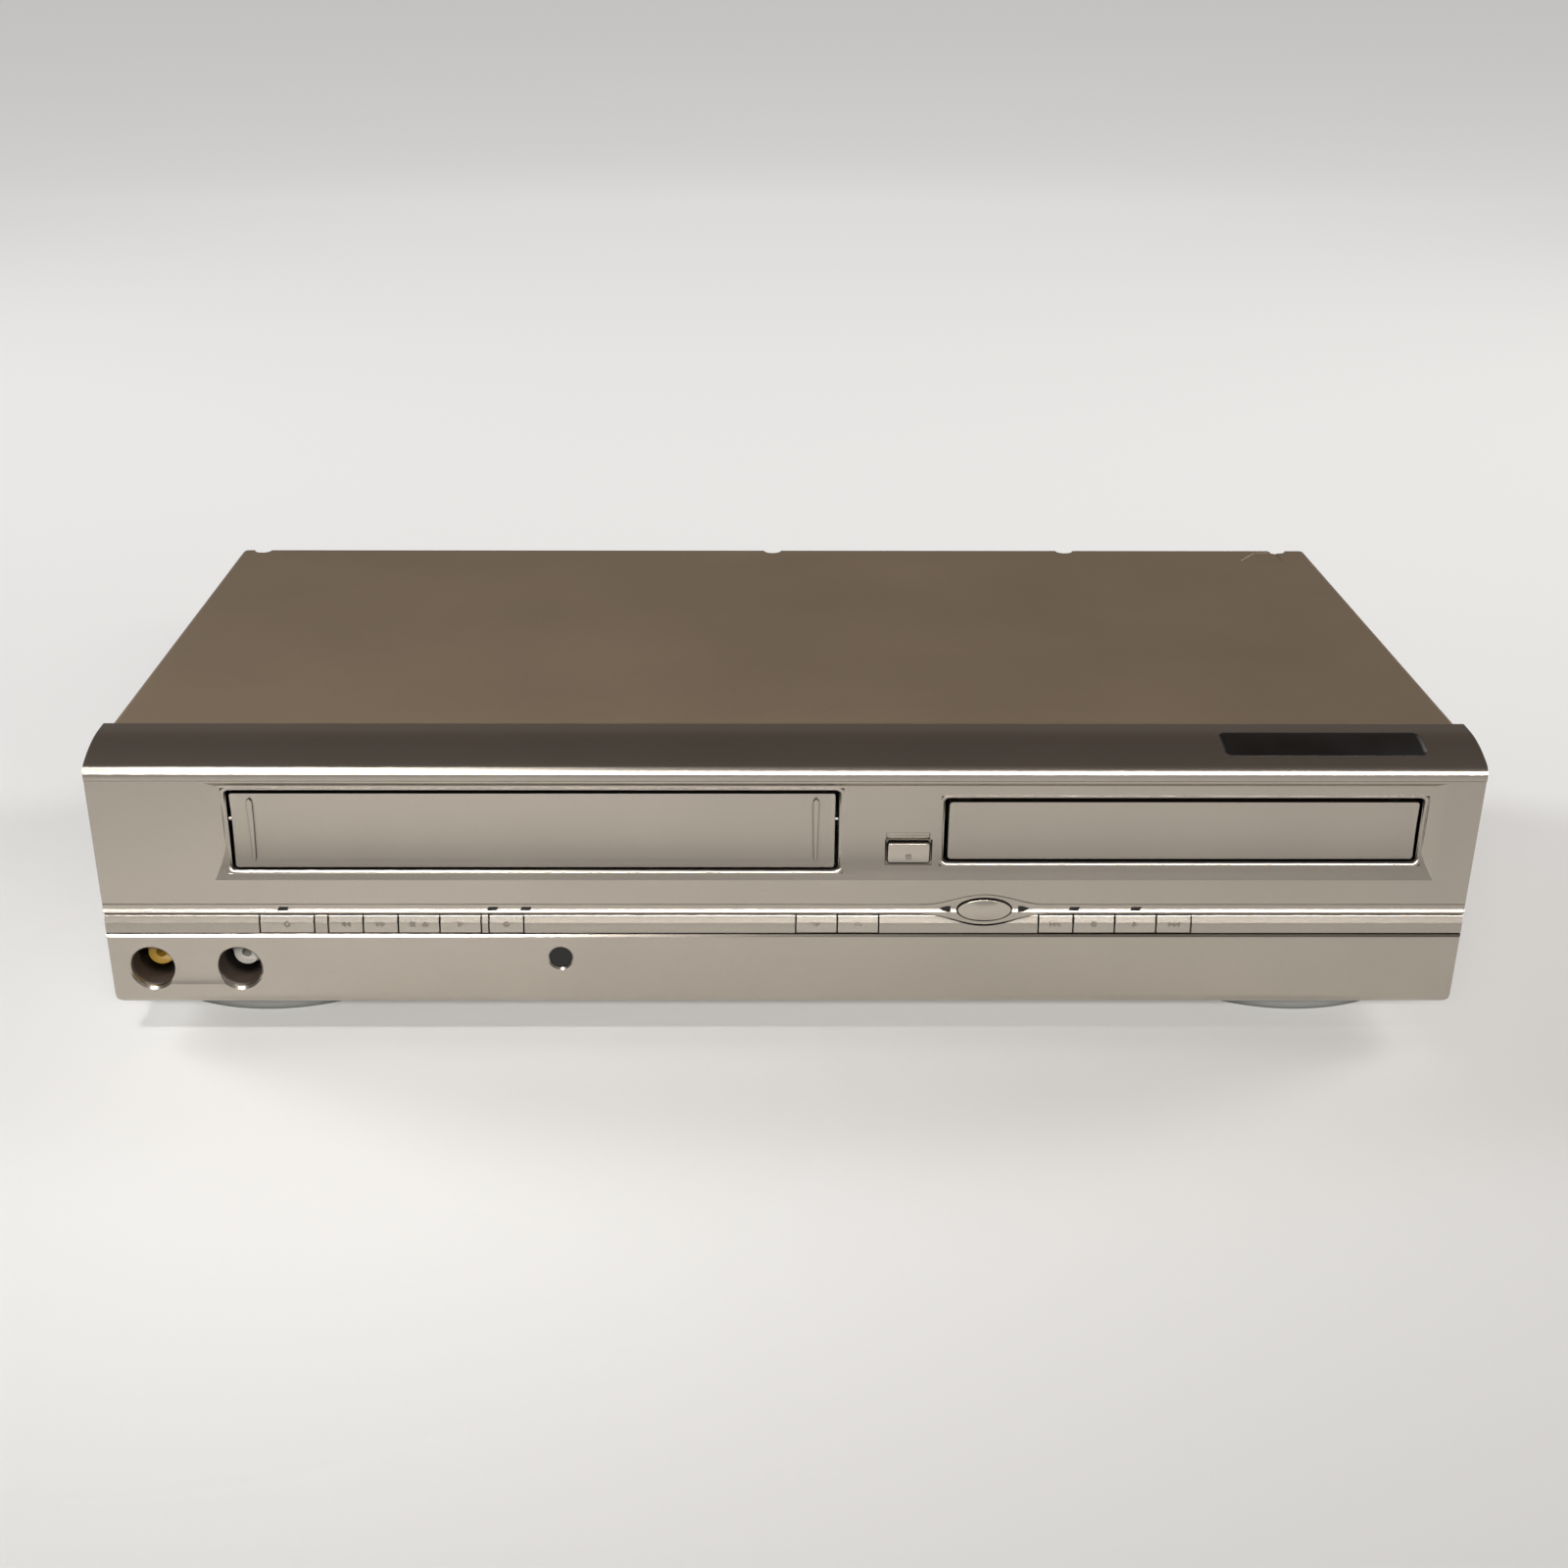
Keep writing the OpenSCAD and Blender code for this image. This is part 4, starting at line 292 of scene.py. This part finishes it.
def glossy(name, base, rough, coat=0.5):
    """Smooth solid plastic, with faint wipe marks."""
    m = Mat(name, rough=rough, coat=coat)
    m.soften(0.0002)
    m.color(m.tinted(base, m.ramp(m.noise(50.0, 2.0), 0.3, 0.7, 0.9, 1.1)))
    m.roughness(m.ramp(m.noise(120.0, 4.0, 0.6), 0.35, 0.75, rough, rough + 0.1))
    return m


# ---------------------------------------------------------------- materials

silver = silver_paint("silver_shell", lin(182, 174, 163))
silver_key = silver_paint("silver_key", lin(190, 182, 171), metallic=0.9, rough=0.22,
                          round_by=0.0003)
silver_mark = silver_paint("silver_mark", lin(150, 142, 133), metallic=0.8, rough=0.3,
                           round_by=0.0001)
cover = sheet_paint("cover_paint", lin(118, 103, 85), rough=0.46, metallic=0.2)
foot = silver_paint("foot_silver", lin(150, 152, 150), metallic=0.45, rough=0.42)
zinc = metal("zinc_sheet", lin(196, 196, 192), rough=0.36, brushed=(1.0, 12.0, 12.0),
             scale=90.0, spangle=True)
rear = sheet_paint("rear_black", lin(58, 58, 58), rough=0.6, metallic=0.0, peel=0.3)
feet_rubber = rubber("rubber", lin(34, 34, 34))
screw = metal("screw_steel", lin(88, 88, 90), rough=0.34)
lens = glossy("lens_dark", lin(10, 7, 6), rough=0.5, coat=0.0)
window = glossy("window_dark", lin(10, 7, 6), rough=0.3, coat=0.0)
green = board("board_green", lin(58, 96, 54))
ivory = moulded("ivory_moulding", lin(214, 209, 196), rough=0.45)
black = moulded("black_moulding", lin(38, 38, 41), rough=0.42)
# dark brown that stands in as painted shade inside the jack wells
well_shade_skin = moulded("well_shade_brown", lin(58, 48, 41), rough=0.4)
# black for bars that stand in as painted shade in the gaps round the keys
gap_shade_black = moulded("gap_shade_black", lin(10, 9, 8), rough=0.7, round_by=0.0001)
label_black = moulded("label_black", lin(12, 10, 9), rough=0.4, grain=500.0, depth=0.03,
                      round_by=0.00005)
alu = metal("cast_aluminium", lin(205, 206, 208), rough=0.3, scale=260.0)
chrome = metal("chrome", lin(214, 214, 214), rough=0.12, depth=0.03)
bright = metal("bright_steel", lin(196, 198, 201), rough=0.2, depth=0.05)
nickel = metal("nickel_plate", lin(202, 200, 194), rough=0.22, depth=0.04)
yellow = glossy("plug_yellow", lin(158, 124, 42), rough=0.3)
white = glossy("plug_white", lin(166, 163, 156), rough=0.3)
red = glossy("plug_red", lin(176, 36, 32), rough=0.32)
blue = glossy("plug_blue", lin(38, 74, 150), rough=0.32)
leaf = glossy("plug_green", lin(40, 118, 66), rough=0.32)
orange = glossy("plug_orange", lin(214, 112, 32), rough=0.32)

BY_SLOT = {
    "cover_paint": cover, "zinc_steel": zinc, "rear_paint": rear, "silver_plastic": silver,
    "foot_plastic": foot, "rubber": feet_rubber, "dark_steel": screw, "lens": lens,
    "window": window, "board_green": green, "yellow_plastic": yellow, "white_plastic": white,
    "ivory_plastic": ivory, "black_plastic": black, "aluminium": alu, "chrome": chrome,
    "bright_steel": bright,
}

for name, obj in nodes.items():
    was = obj.material_slots[0].material.name.split(".")[0] if obj.material_slots else ""
    chosen = silver_key if name.endswith("_key") else BY_SLOT.get(was, silver)
    for material_slot in obj.material_slots:
        material_slot.material = chosen.mat

# ---------------------------------------------------------------- places, in millimetres

MM = 0.001
# Y of the front panel's face, and of the rear panel's inner face
FACE_Y = -114.4
REAR_Y = 106.1
# the hollow round both doors: how deep its arc is, its radius, and the height of its middle
HOLLOW_D, HOLLOW_R, HOLLOW_Z = 3.0, 73.0, 76.0
# height of the symbols on the key strip, and the places of the gaps beside its keys, by window
KEY_Z = 41.3
KEY_GAPS = {
    "standby_mask": (-168.0, -150.5),
    "tape_keys_mask": (-146.1, -134.9, -123.7, -110.4, -97.1),
    "record_mask": (-94.7, -83.5),
    "channel_mask": (3.6, 16.9, 30.2),
    "disc_keys_mask": (81.4, 92.6, 105.9, 119.2, 130.4),
}
# place across and height of the open/close key, the infrared window and the front wells
OPEN_CLOSE_AT = (39.0, 64.2)
WINDOW_AT = (-72.0, 29.8)
WELL_Z = 26.3
WELLS = (("video_well_liner", -203.7), ("audio_well_liner", -175.7))
# rear sockets: the name and height of each row, then their names, places across and colours
LINE_ROWS = (("line_in", 50.0), ("line_out", 32.0))
LINE_COLUMNS = (("video", -160.0, yellow), ("left", -142.0, white), ("right", -124.0, red))
DISC_SOCKETS_Z = 32.0
DISC_SOCKETS = (("digital_audio", 96.0, orange), ("component_red", 114.0, red),
                ("component_blue", 132.0, blue), ("component_green", 150.0, leaf),
                ("disc_video", 168.0, yellow))


def at(x, depth, z):
    """A point in metres from millimetres across, behind the front face, and up."""
    return Vector((x * MM, (FACE_Y + depth) * MM, z * MM))


def behind(x, distance, z):
    """A point in metres from millimetres across, behind the rear panel's inner face, and up."""
    return Vector((x * MM, (REAR_Y + distance) * MM, z * MM))


def hollow_depth(z):
    """Depth of the hollow's floor behind the face, at height z."""
    return HOLLOW_D - HOLLOW_R + math.sqrt(HOLLOW_R ** 2 - (z - HOLLOW_Z) ** 2)


# ---------------------------------------------------------------- shape kit


def new_piece(name, bm, mats, body, smooth=True):
    """Makes an object of the mesh, which rides on a body."""
    mesh = bpy.data.meshes.new(name)
    bmesh.ops.recalc_face_normals(bm, faces=bm.faces)
    bm.to_mesh(mesh)
    bm.free()
    for m in mats:
        mesh.materials.append(m.mat)
    if smooth:
        for poly in mesh.polygons:
            poly.use_smooth = True
    obj = bpy.data.objects.new(name, mesh)
    bpy.context.scene.collection.objects.link(obj)
    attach(obj, body)


def wall(bm, a, b):
    """Adds the faces between two closed loops, which have as many vertices each."""
    after = range(1, len(a))
    return [bm.faces.new((a[j], a[k], b[k], b[j])) for j, k in enumerate((*after, 0))]


def rows_piece(name, rows, mats, second_from=None):
    """A closed skin through loops of points, on the case; the last loop joins the first.

    From place second_from of each loop on, the faces take the second material.
    """
    bm = bmesh.new()
    loops = [[bm.verts.new(point) for point in row] for row in rows]
    for a, b in zip(loops, loops[1:] + loops[:1]):
        for j, face in enumerate(wall(bm, a, b)):
            face.material_index = 1 if second_from is not None and j >= second_from else 0
    new_piece(name, bm, mats, "case")


def turned(x, z, profile, steps, place=at):
    """Loops round a line along Y through x and z; profile is (radius, depth) points."""
    rows = []
    for i in range(steps):
        a = 2.0 * math.pi * i / steps
        rows.append([place(x + r * math.cos(a), d, z + r * math.sin(a)) for r, d in profile])
    return rows


def rounded_path(x0, x1, z0, z1, r):
    """Points round a rounded rectangle, each with the direction towards its middle."""
    corner_steps, side_steps = 8, 10
    corners = ((x1 - r, z1 - r, 0), (x0 + r, z1 - r, 90),
               (x0 + r, z0 + r, 180), (x1 - r, z0 + r, 270))
    points = []
    for corner, (cx, cz, a0) in enumerate(corners):
        for i in range(corner_steps + 1):
            a = math.radians(a0 + 90.0 * i / corner_steps)
            c, s = math.cos(a), math.sin(a)
            points.append((cx + r * c, cz + r * s, -c, -s))
        next_x, next_z, next_a = corners[(corner + 1) % len(corners)]
        end_x = next_x + r * math.cos(math.radians(next_a))
        end_z = next_z + r * math.sin(math.radians(next_a))
        x, z, nx, nz = points[-1]
        for i in range(1, side_steps):
            t = i / side_steps
            points.append((x + (end_x - x) * t, z + (end_z - z) * t, nx, nz))
    return points


def skin(node):
    """The surface of a CAD node, to set a piece down on."""
    mesh = nodes[node].data
    return BVHTree.FromPolygons([v.co for v in mesh.vertices],
                                [f.vertices[:] for f in mesh.polygons])


def slab(bm, x0, x1, d0, d1, z0, z1):
    """A bar with its front edges taken off, in millimetres across, behind the face and up."""
    widest_chamfer = 0.12
    chamfer = min(widest_chamfer, (x1 - x0) / 4, (z1 - z0) / 4)

    def loop(depth, inset):
        corners = ((x0 + inset, z0 + inset), (x1 - inset, z0 + inset),
                   (x1 - inset, z1 - inset), (x0 + inset, z1 - inset))
        return [bm.verts.new(at(x, depth, z)) for x, z in corners]

    front = loop(d0, chamfer)
    middle = loop(d0 + chamfer, 0.0)
    back = loop(d1, 0.0)
    bm.faces.new(front)
    bm.faces.new(back)
    wall(bm, front, middle)
    wall(bm, middle, back)


# ---------------------------------------------------------------- symbols on the keys

# Each outline is convex, in millimetres from the middle of its symbol.


def triangle(cx, w, h, way):
    """An arrowhead that points left (-1) or right (1)."""
    return [(cx + way * w / 2, 0.0), (cx - way * w / 2, h / 2), (cx - way * w / 2, -h / 2)]


def small_arrow(cx, way):
    return triangle(cx, 1.4, 1.7, way)


def rect(cx, cz, w, h):
    return [(cx - w / 2, cz - h / 2), (cx + w / 2, cz - h / 2),
            (cx + w / 2, cz + h / 2), (cx - w / 2, cz + h / 2)]


def arc_band(r, w, a0, a1, steps):
    """Short straight pieces that make up a ring or part of one."""
    angles = [math.radians(a0 + (a1 - a0) * i / steps) for i in range(steps + 1)]
    outlines = []
    for t0, t1 in zip(angles, angles[1:]):
        corners = ((r + w / 2, t0), (r + w / 2, t1), (r - w / 2, t1), (r - w / 2, t0))
        outlines.append([(q * math.cos(t), q * math.sin(t)) for q, t in corners])
    return outlines


def bar(x0, z0, x1, z1, w):
    dx, dz = x1 - x0, z1 - z0
    n = math.hypot(dx, dz)
    ox, oz = -dz / n * w / 2, dx / n * w / 2
    return [(x0 + ox, z0 + oz), (x0 - ox, z0 - oz), (x1 - ox, z1 - oz), (x1 + ox, z1 + oz)]


def chevron(way):
    """Two bars that meet in a point above (1) or below (-1)."""
    reach, rise, w = 1.1, 0.5 * way, 0.4
    return [bar(-reach, -rise, 0.0, rise, w), bar(0.0, rise, reach, -rise, w)]


def embossed(name, node, shapes, cx, cz, height=0.28, chamfer=0.12):
    """Low raised marks on the front of a key, about cx and cz."""
    tree = skin(node)
    sunk = Vector((0.0, 0.00005, 0.0))
    proud = Vector((0.0, height * MM, 0.0))

    def front(x, z):
        return tree.ray_cast(Vector((x * MM, -1.0, z * MM)), Vector((0.0, 1.0, 0.0)))[0]

    bm = bmesh.new()
    for shape in shapes:
        outline = [(cx + x, cz + z) for x, z in shape]
        mid_x = sum(x for x, z in outline) / len(outline)
        mid_z = sum(z for x, z in outline) / len(outline)
        low, top = [], []
        for x, z in outline:
            low.append(bm.verts.new(front(x, z) + sunk))
            reach = max(0.001, math.hypot(x - mid_x, z - mid_z))
            k = max(0.0, 1.0 - chamfer / reach)
            top.append(bm.verts.new(front(mid_x + (x - mid_x) * k, mid_z + (z - mid_z) * k)
                                    - proud))
        wall(bm, low, top)
        bm.faces.new(top)
        bm.faces.new(low)
    new_piece(name, bm, (silver_mark,), node, smooth=False)


def key_marks():
    """Generic symbols in relief: on the key strip from left to right, and on the open/close key.

    The oval source key stays plain. fine and plain are widths of the symbols' chamfers.
    """
    fine, plain = 0.06, 0.12
    stop = rect(0.0, 0.0, 1.6, 1.6)
    play = triangle(0.0, 1.7, 1.9, 1)
    eject = [[(1.1, -0.1), (3.1, -0.1), (2.1, 0.95)], rect(2.1, -0.6, 2.0, 0.4)]
    marks = (
        ("standby", arc_band(0.85, 0.3, -235, 55, 9) + [rect(0.0, 0.75, 0.3, 0.9)], fine),
        ("rewind", [small_arrow(-0.8, -1), small_arrow(0.8, -1)], plain),
        ("fast_forward", [small_arrow(-0.8, 1), small_arrow(0.8, 1)], plain),
        ("stop_eject", [rect(-2.1, 0.0, 1.6, 1.6), *eject], plain),
        ("tape_play", [play], plain),
        ("record", arc_band(0.75, 0.4, 0, 360, 12), fine),
        ("channel_down", chevron(-1), fine),
        ("channel_up", chevron(1), fine),
        ("previous", [rect(-1.75, 0.0, 0.35, 1.7), small_arrow(-0.75, -1),
                      small_arrow(0.85, -1)], plain),
        ("disc_stop", [stop], plain),
        ("disc_play", [play], plain),
        ("next", [small_arrow(-0.85, 1), small_arrow(0.75, 1),
                  rect(1.75, 0.0, 0.35, 1.7)], plain),
    )
    middles = [(a + b) / 2 for gaps in KEY_GAPS.values() for a, b in zip(gaps, gaps[1:])]
    for (name, shapes, chamfer), x in zip(marks, middles, strict=True):
        embossed(name + "_mark", name + "_key", shapes, x, KEY_Z, chamfer=chamfer)
    embossed("open_close_mark", "open_close_key", [rect(0.0, 0.0, 1.7, 1.5)], *OPEN_CLOSE_AT,
             height=0.3)


# ---------------------------------------------------------------- front panel


def opening_lip(name, x0, x1, z0, z1):
    """The rolled edge of an opening in the panel, and the wall that it runs into, which is black
    as painted shade.
    """
    roll, thick, proud = 1.3, 0.12, 0.02
    inner = roll - thick
    wall_end, least_wall = 5.4, 0.3
    lip_corner, rim_corner = 2.6, 0.5
    rim_past, rim_sunk = 0.08, 0.05
    edges = (x0 - roll, x1 + roll, z0 - roll, z1 + roll)
    lip_path = rounded_path(*edges, lip_corner)
    rim_path = rounded_path(*edges, rim_corner)
    quarter = [math.radians(9.0 * i) for i in range(11)]
    outside = [(roll * math.sin(t), roll * (1.0 - math.cos(t)) - proud) for t in quarter]
    inside = [(inner * math.sin(t), roll - inner * math.cos(t) - proud)
              for t in reversed(quarter)]
    rows = []
    for (x, z, nx, nz), (rim_x, rim_z, _, _) in zip(lip_path, rim_path):
        floor_d = hollow_depth(z)
        deep = max(roll + least_wall, wall_end - floor_d)
        profile = outside + [(roll, deep), (inner, deep)] + inside
        rim = at(rim_x - nx * rim_past, hollow_depth(rim_z) + rim_sunk, rim_z - nz * rim_past)
        rows.append([rim] + [at(x + nx * s, floor_d + d, z + nz * s) for s, d in profile])
    # the wall's faces take the black moulding, as painted shade
    rows_piece(name, rows, (silver, black), second_from=len(quarter))


def key_gap_shade(name, gaps):
    """Black bars put in as painted shade round the keys of one window: a bar in each gap, and one
    below and above.
    """
    half_gap, back = 0.22, 4.6
    left, right = gaps[0] - half_gap, gaps[-1] + half_gap
    bm = bmesh.new()
    for x in gaps:
        slab(bm, x - half_gap, x + half_gap, 2.05, back, 38.5, 44.2)
    slab(bm, left, right, 1.75, back, 38.04, 38.46)
    slab(bm, left, right, 1.95, back, 44.26, 44.9)
    new_piece(name, bm, (gap_shade_black,), "case", smooth=False)


def window_rim():
    """Dull silver bevel round the infrared window."""
    profile = [(3.72, -0.75), (3.82, -0.93), (4.05, -0.98), (4.3, -0.9), (4.42, -0.74),
               (4.2, -0.6), (3.72, -0.6)]
    rows_piece("window_rim", turned(*WINDOW_AT, profile, 56), (silver_mark,))


def finger_ledge():
    """Sloping floor of the finger recess above the open/close key."""
    x0, x1, z0 = 31.9, 45.6, 69.95
    profile = [(3.35, z0), (3.25, z0 + 0.9), (3.02, z0 + 2.05), (3.6, z0 + 2.0),
               (4.0, z0 + 0.2)]
    bm = bmesh.new()
    left, right = [[bm.verts.new(at(x, d, z)) for d, z in profile] for x in (x0, x1)]
    wall(bm, left, right)
    bm.faces.new(left)
    bm.faces.new(right)
    new_piece("finger_ledge", bm, (silver,), "case", smooth=False)


def well_liner(name, x):
    """Inner skin of a jack well, dark brown as painted shade, with a slight rim."""
    outer, inner, deep = 7.06, 6.9, 15.8
    profile = [(outer, 0.7), (outer, deep), (inner, deep), (inner, 8.0), (inner, 1.0),
               (inner + 0.08, 0.75)]
    rows_piece(name, turned(x, WELL_Z, profile, 48), (well_shade_skin,))


def blank_label():
    """Black label without text on the nose, which follows its curve."""
    tree = skin("front_panel")
    x0, x1, d0, d1, corner = 137.0, 200.4, 6.2, 19.8, 1.8
    across, along = 24, 40
    thick, sunk = 0.00004, 0.00002
    grid = []
    for i in range(across + 1):
        depth = d0 + (d1 - d0) * i / across
        row = []
        for j in range(along + 1):
            x = x0 + (x1 - x0) * j / along
            past = max(0.0, corner - min(x - x0, x1 - x))
            inset = corner - math.sqrt(max(0.0, corner * corner - past ** 2))
            above = at(x, min(max(depth, d0 + inset), d1 - inset), 300.0)
            row.append(tree.ray_cast(above, Vector((0.0, 0.0, -1.0)))[:2])
        grid.append(row)
    bm = bmesh.new()
    top = [[bm.verts.new(hit + normal * thick) for hit, normal in row] for row in grid]
    low = [[bm.verts.new(hit - normal * sunk) for hit, normal in row] for row in grid]
    for i in range(across):
        for j in range(along):
            bm.faces.new((top[i][j], top[i][j + 1], top[i + 1][j + 1], top[i + 1][j]))
            bm.faces.new((low[i][j], low[i + 1][j], low[i + 1][j + 1], low[i][j + 1]))
    rim = ([(0, j) for j in range(along)] + [(i, along) for i in range(across)]
           + [(across, j) for j in range(along, 0, -1)] + [(i, 0) for i in range(across, 0, -1)])
    wall(bm, [top[i][j] for i, j in rim], [low[i][j] for i, j in rim])
    new_piece("blank_label", bm, (label_black,), "case")


# ---------------------------------------------------------------- rear sockets


def phono(name, x, z, colour):
    """Plated barrel over a socket's shell, with a coloured collar and a coloured insulator."""
    barrel = [(4.17, 2.2), (4.17, 9.0), (4.28, 9.3), (4.28, 9.48), (4.1, 9.55), (3.1, 9.55),
              (3.1, 9.58), (4.2, 9.62), (4.42, 9.45), (4.42, 9.2), (4.3, 8.9), (4.3, 2.2)]
    collar = [(4.2, 1.55), (4.2, 2.7), (5.2, 2.7), (5.5, 2.4), (5.6, 1.55)]
    insulator = [(1.75, 9.52), (1.75, 9.6), (3.05, 9.6), (3.05, 9.52)]
    for part, profile, mat, slot in (("barrel", barrel, nickel, "bright_steel"),
                                     ("collar", collar, colour, "black_plastic"),
                                     ("insulator", insulator, colour, "black_plastic")):
        rows_piece(f"{name}_{part}", turned(x, z, profile, 40, behind), (mat,))


# ---------------------------------------------------------------- the pieces

opening_lip("tape_opening_edge", -175.0, 16.9, 60.0, 86.2)
opening_lip("disc_opening_edge", 50.0, 200.0, 62.5, 83.5)
key_marks()
# black bars in the key gaps, as painted shade
for mask_name, mask_gaps in KEY_GAPS.items():
    key_gap_shade(mask_name, mask_gaps)
window_rim()
finger_ledge()
for well_name, well_x in WELLS:
    well_liner(well_name, well_x)
blank_label()
for row_name, row_z in LINE_ROWS:
    for column_name, socket_x, socket_colour in LINE_COLUMNS:
        phono(f"{row_name}_{column_name}", socket_x, row_z, socket_colour)
for socket_name, socket_x, socket_colour in DISC_SOCKETS:
    phono(socket_name, socket_x, DISC_SOCKETS_Z, socket_colour)

# ---------------------------------------------------------------- floor and light


def seen_by_eye(nt):
    """1 for rays that show a background: straight from the camera, mirrored, or through glass."""
    path = nt.nodes.new("ShaderNodeLightPath")
    seen = path.outputs["Is Camera Ray"]
    for kind in ("Is Glossy Ray", "Is Transmission Ray"):
        either = nt.nodes.new("ShaderNodeMath")
        either.operation = "MAXIMUM"
        nt.links.new(seen, either.inputs[0])
        nt.links.new(path.outputs[kind], either.inputs[1])
        seen = either.outputs[0]
    return seen


def make_floor():
    """A pale floor, lifted a little where the eye sees it, so that it reads as paper."""
    mesh = bpy.data.meshes.new("floor")
    bm = bmesh.new()
    bmesh.ops.create_grid(bm, x_segments=1, y_segments=1, size=15.0)
    bm.to_mesh(mesh)
    bm.free()
    floor = bpy.data.objects.new("floor", mesh)
    bpy.context.scene.collection.objects.link(floor)
    m = Mat("floor_pale", rough=0.9)
    m.set("Specular IOR Level", 0.1)
    m.color(m.tinted(lin(208, 208, 207), m.ramp(m.noise(3.0), 0.0, 1.0, 0.995, 1.005)))
    place = m.nt.nodes.new("ShaderNodeSeparateXYZ")
    m.link(m.coord, place.inputs[0])
    farther = m.ramp(place.outputs["Y"], -0.8, 2.0, 0.0, 0.50)
    m.set("Emission Color", (1.0, 1.0, 1.0, 1.0))
    m.link(m.times(seen_by_eye(m.nt), farther), m.bsdf.inputs["Emission Strength"])
    mesh.materials.append(m.mat)


def make_world():
    """A grey band round the horizon, under a dim warm ceiling.

    The two heights are sines of the angle above the horizon.
    """
    band_top, ceiling_edge = 0.12, 0.6
    world = bpy.data.worlds.new("studio")
    bpy.context.scene.world = world
    world.use_nodes = True
    nt = world.node_tree
    way = nt.nodes.new("ShaderNodeTexCoord")
    parts = nt.nodes.new("ShaderNodeSeparateXYZ")
    nt.links.new(way.outputs["Generated"], parts.inputs[0])

    def upwards(at_horizon, at_ceiling):
        """A value that goes smoothly from the band's to the ceiling's."""
        node = nt.nodes.new("ShaderNodeMapRange")
        node.interpolation_type = "SMOOTHSTEP"
        node.inputs["From Min"].default_value = band_top
        node.inputs["From Max"].default_value = ceiling_edge
        node.inputs["To Min"].default_value = at_horizon
        node.inputs["To Max"].default_value = at_ceiling
        nt.links.new(parts.outputs["Z"], node.inputs["Value"])
        return node.outputs["Result"]

    tint = nt.nodes.new("ShaderNodeMix")
    tint.data_type = "RGBA"
    tint.inputs[6].default_value = (1.0, 0.99, 0.98, 1.0)
    tint.inputs[7].default_value = (1.0, 0.62, 0.42, 1.0)
    nt.links.new(upwards(0.0, 1.0), tint.inputs[0])
    sky = nt.nodes["Background"]
    nt.links.new(upwards(0.16, 0.038), sky.inputs["Strength"])
    nt.links.new(tint.outputs[2], sky.inputs["Color"])


def area(name, place, aim, size, power, tint, spread):
    """A rectangular lamp, with its spread in degrees."""
    data = bpy.data.lights.new(name, "AREA")
    data.shape = "RECTANGLE"
    data.size, data.size_y = size
    data.energy = power
    data.color = tint
    data.spread = math.radians(spread)
    obj = bpy.data.objects.new(name, data)
    obj.location = place
    obj.rotation_euler = (Vector(aim) - Vector(place)).to_track_quat("-Z", "Y").to_euler()
    bpy.context.scene.collection.objects.link(obj)


make_floor()
make_world()

PALE = (1.0, 0.985, 0.965)
WARM = (1.0, 0.98, 0.955)
COOL = (0.97, 0.985, 1.0)
area("key", (0.25, -2.3, 1.25), (0.25, 0.0, 1.25), (2.6, 0.24), 52.0, WARM, 90.0)
area("near", (-0.5, -0.9, 1.5), (-0.16, -0.17, 0.0), (0.3, 0.15), 0.19, PALE, 22.0)
area("side", (-2.2, 0.9, 1.3), (0.0, 0.1, 0.05), (0.9, 0.9), 11.0, COOL, 100.0)
area("other_side", (2.2, 0.9, 1.3), (0.0, 0.1, 0.05), (0.9, 0.9), 9.0, PALE, 100.0)

bpy.context.scene.view_settings.view_transform = "Standard"
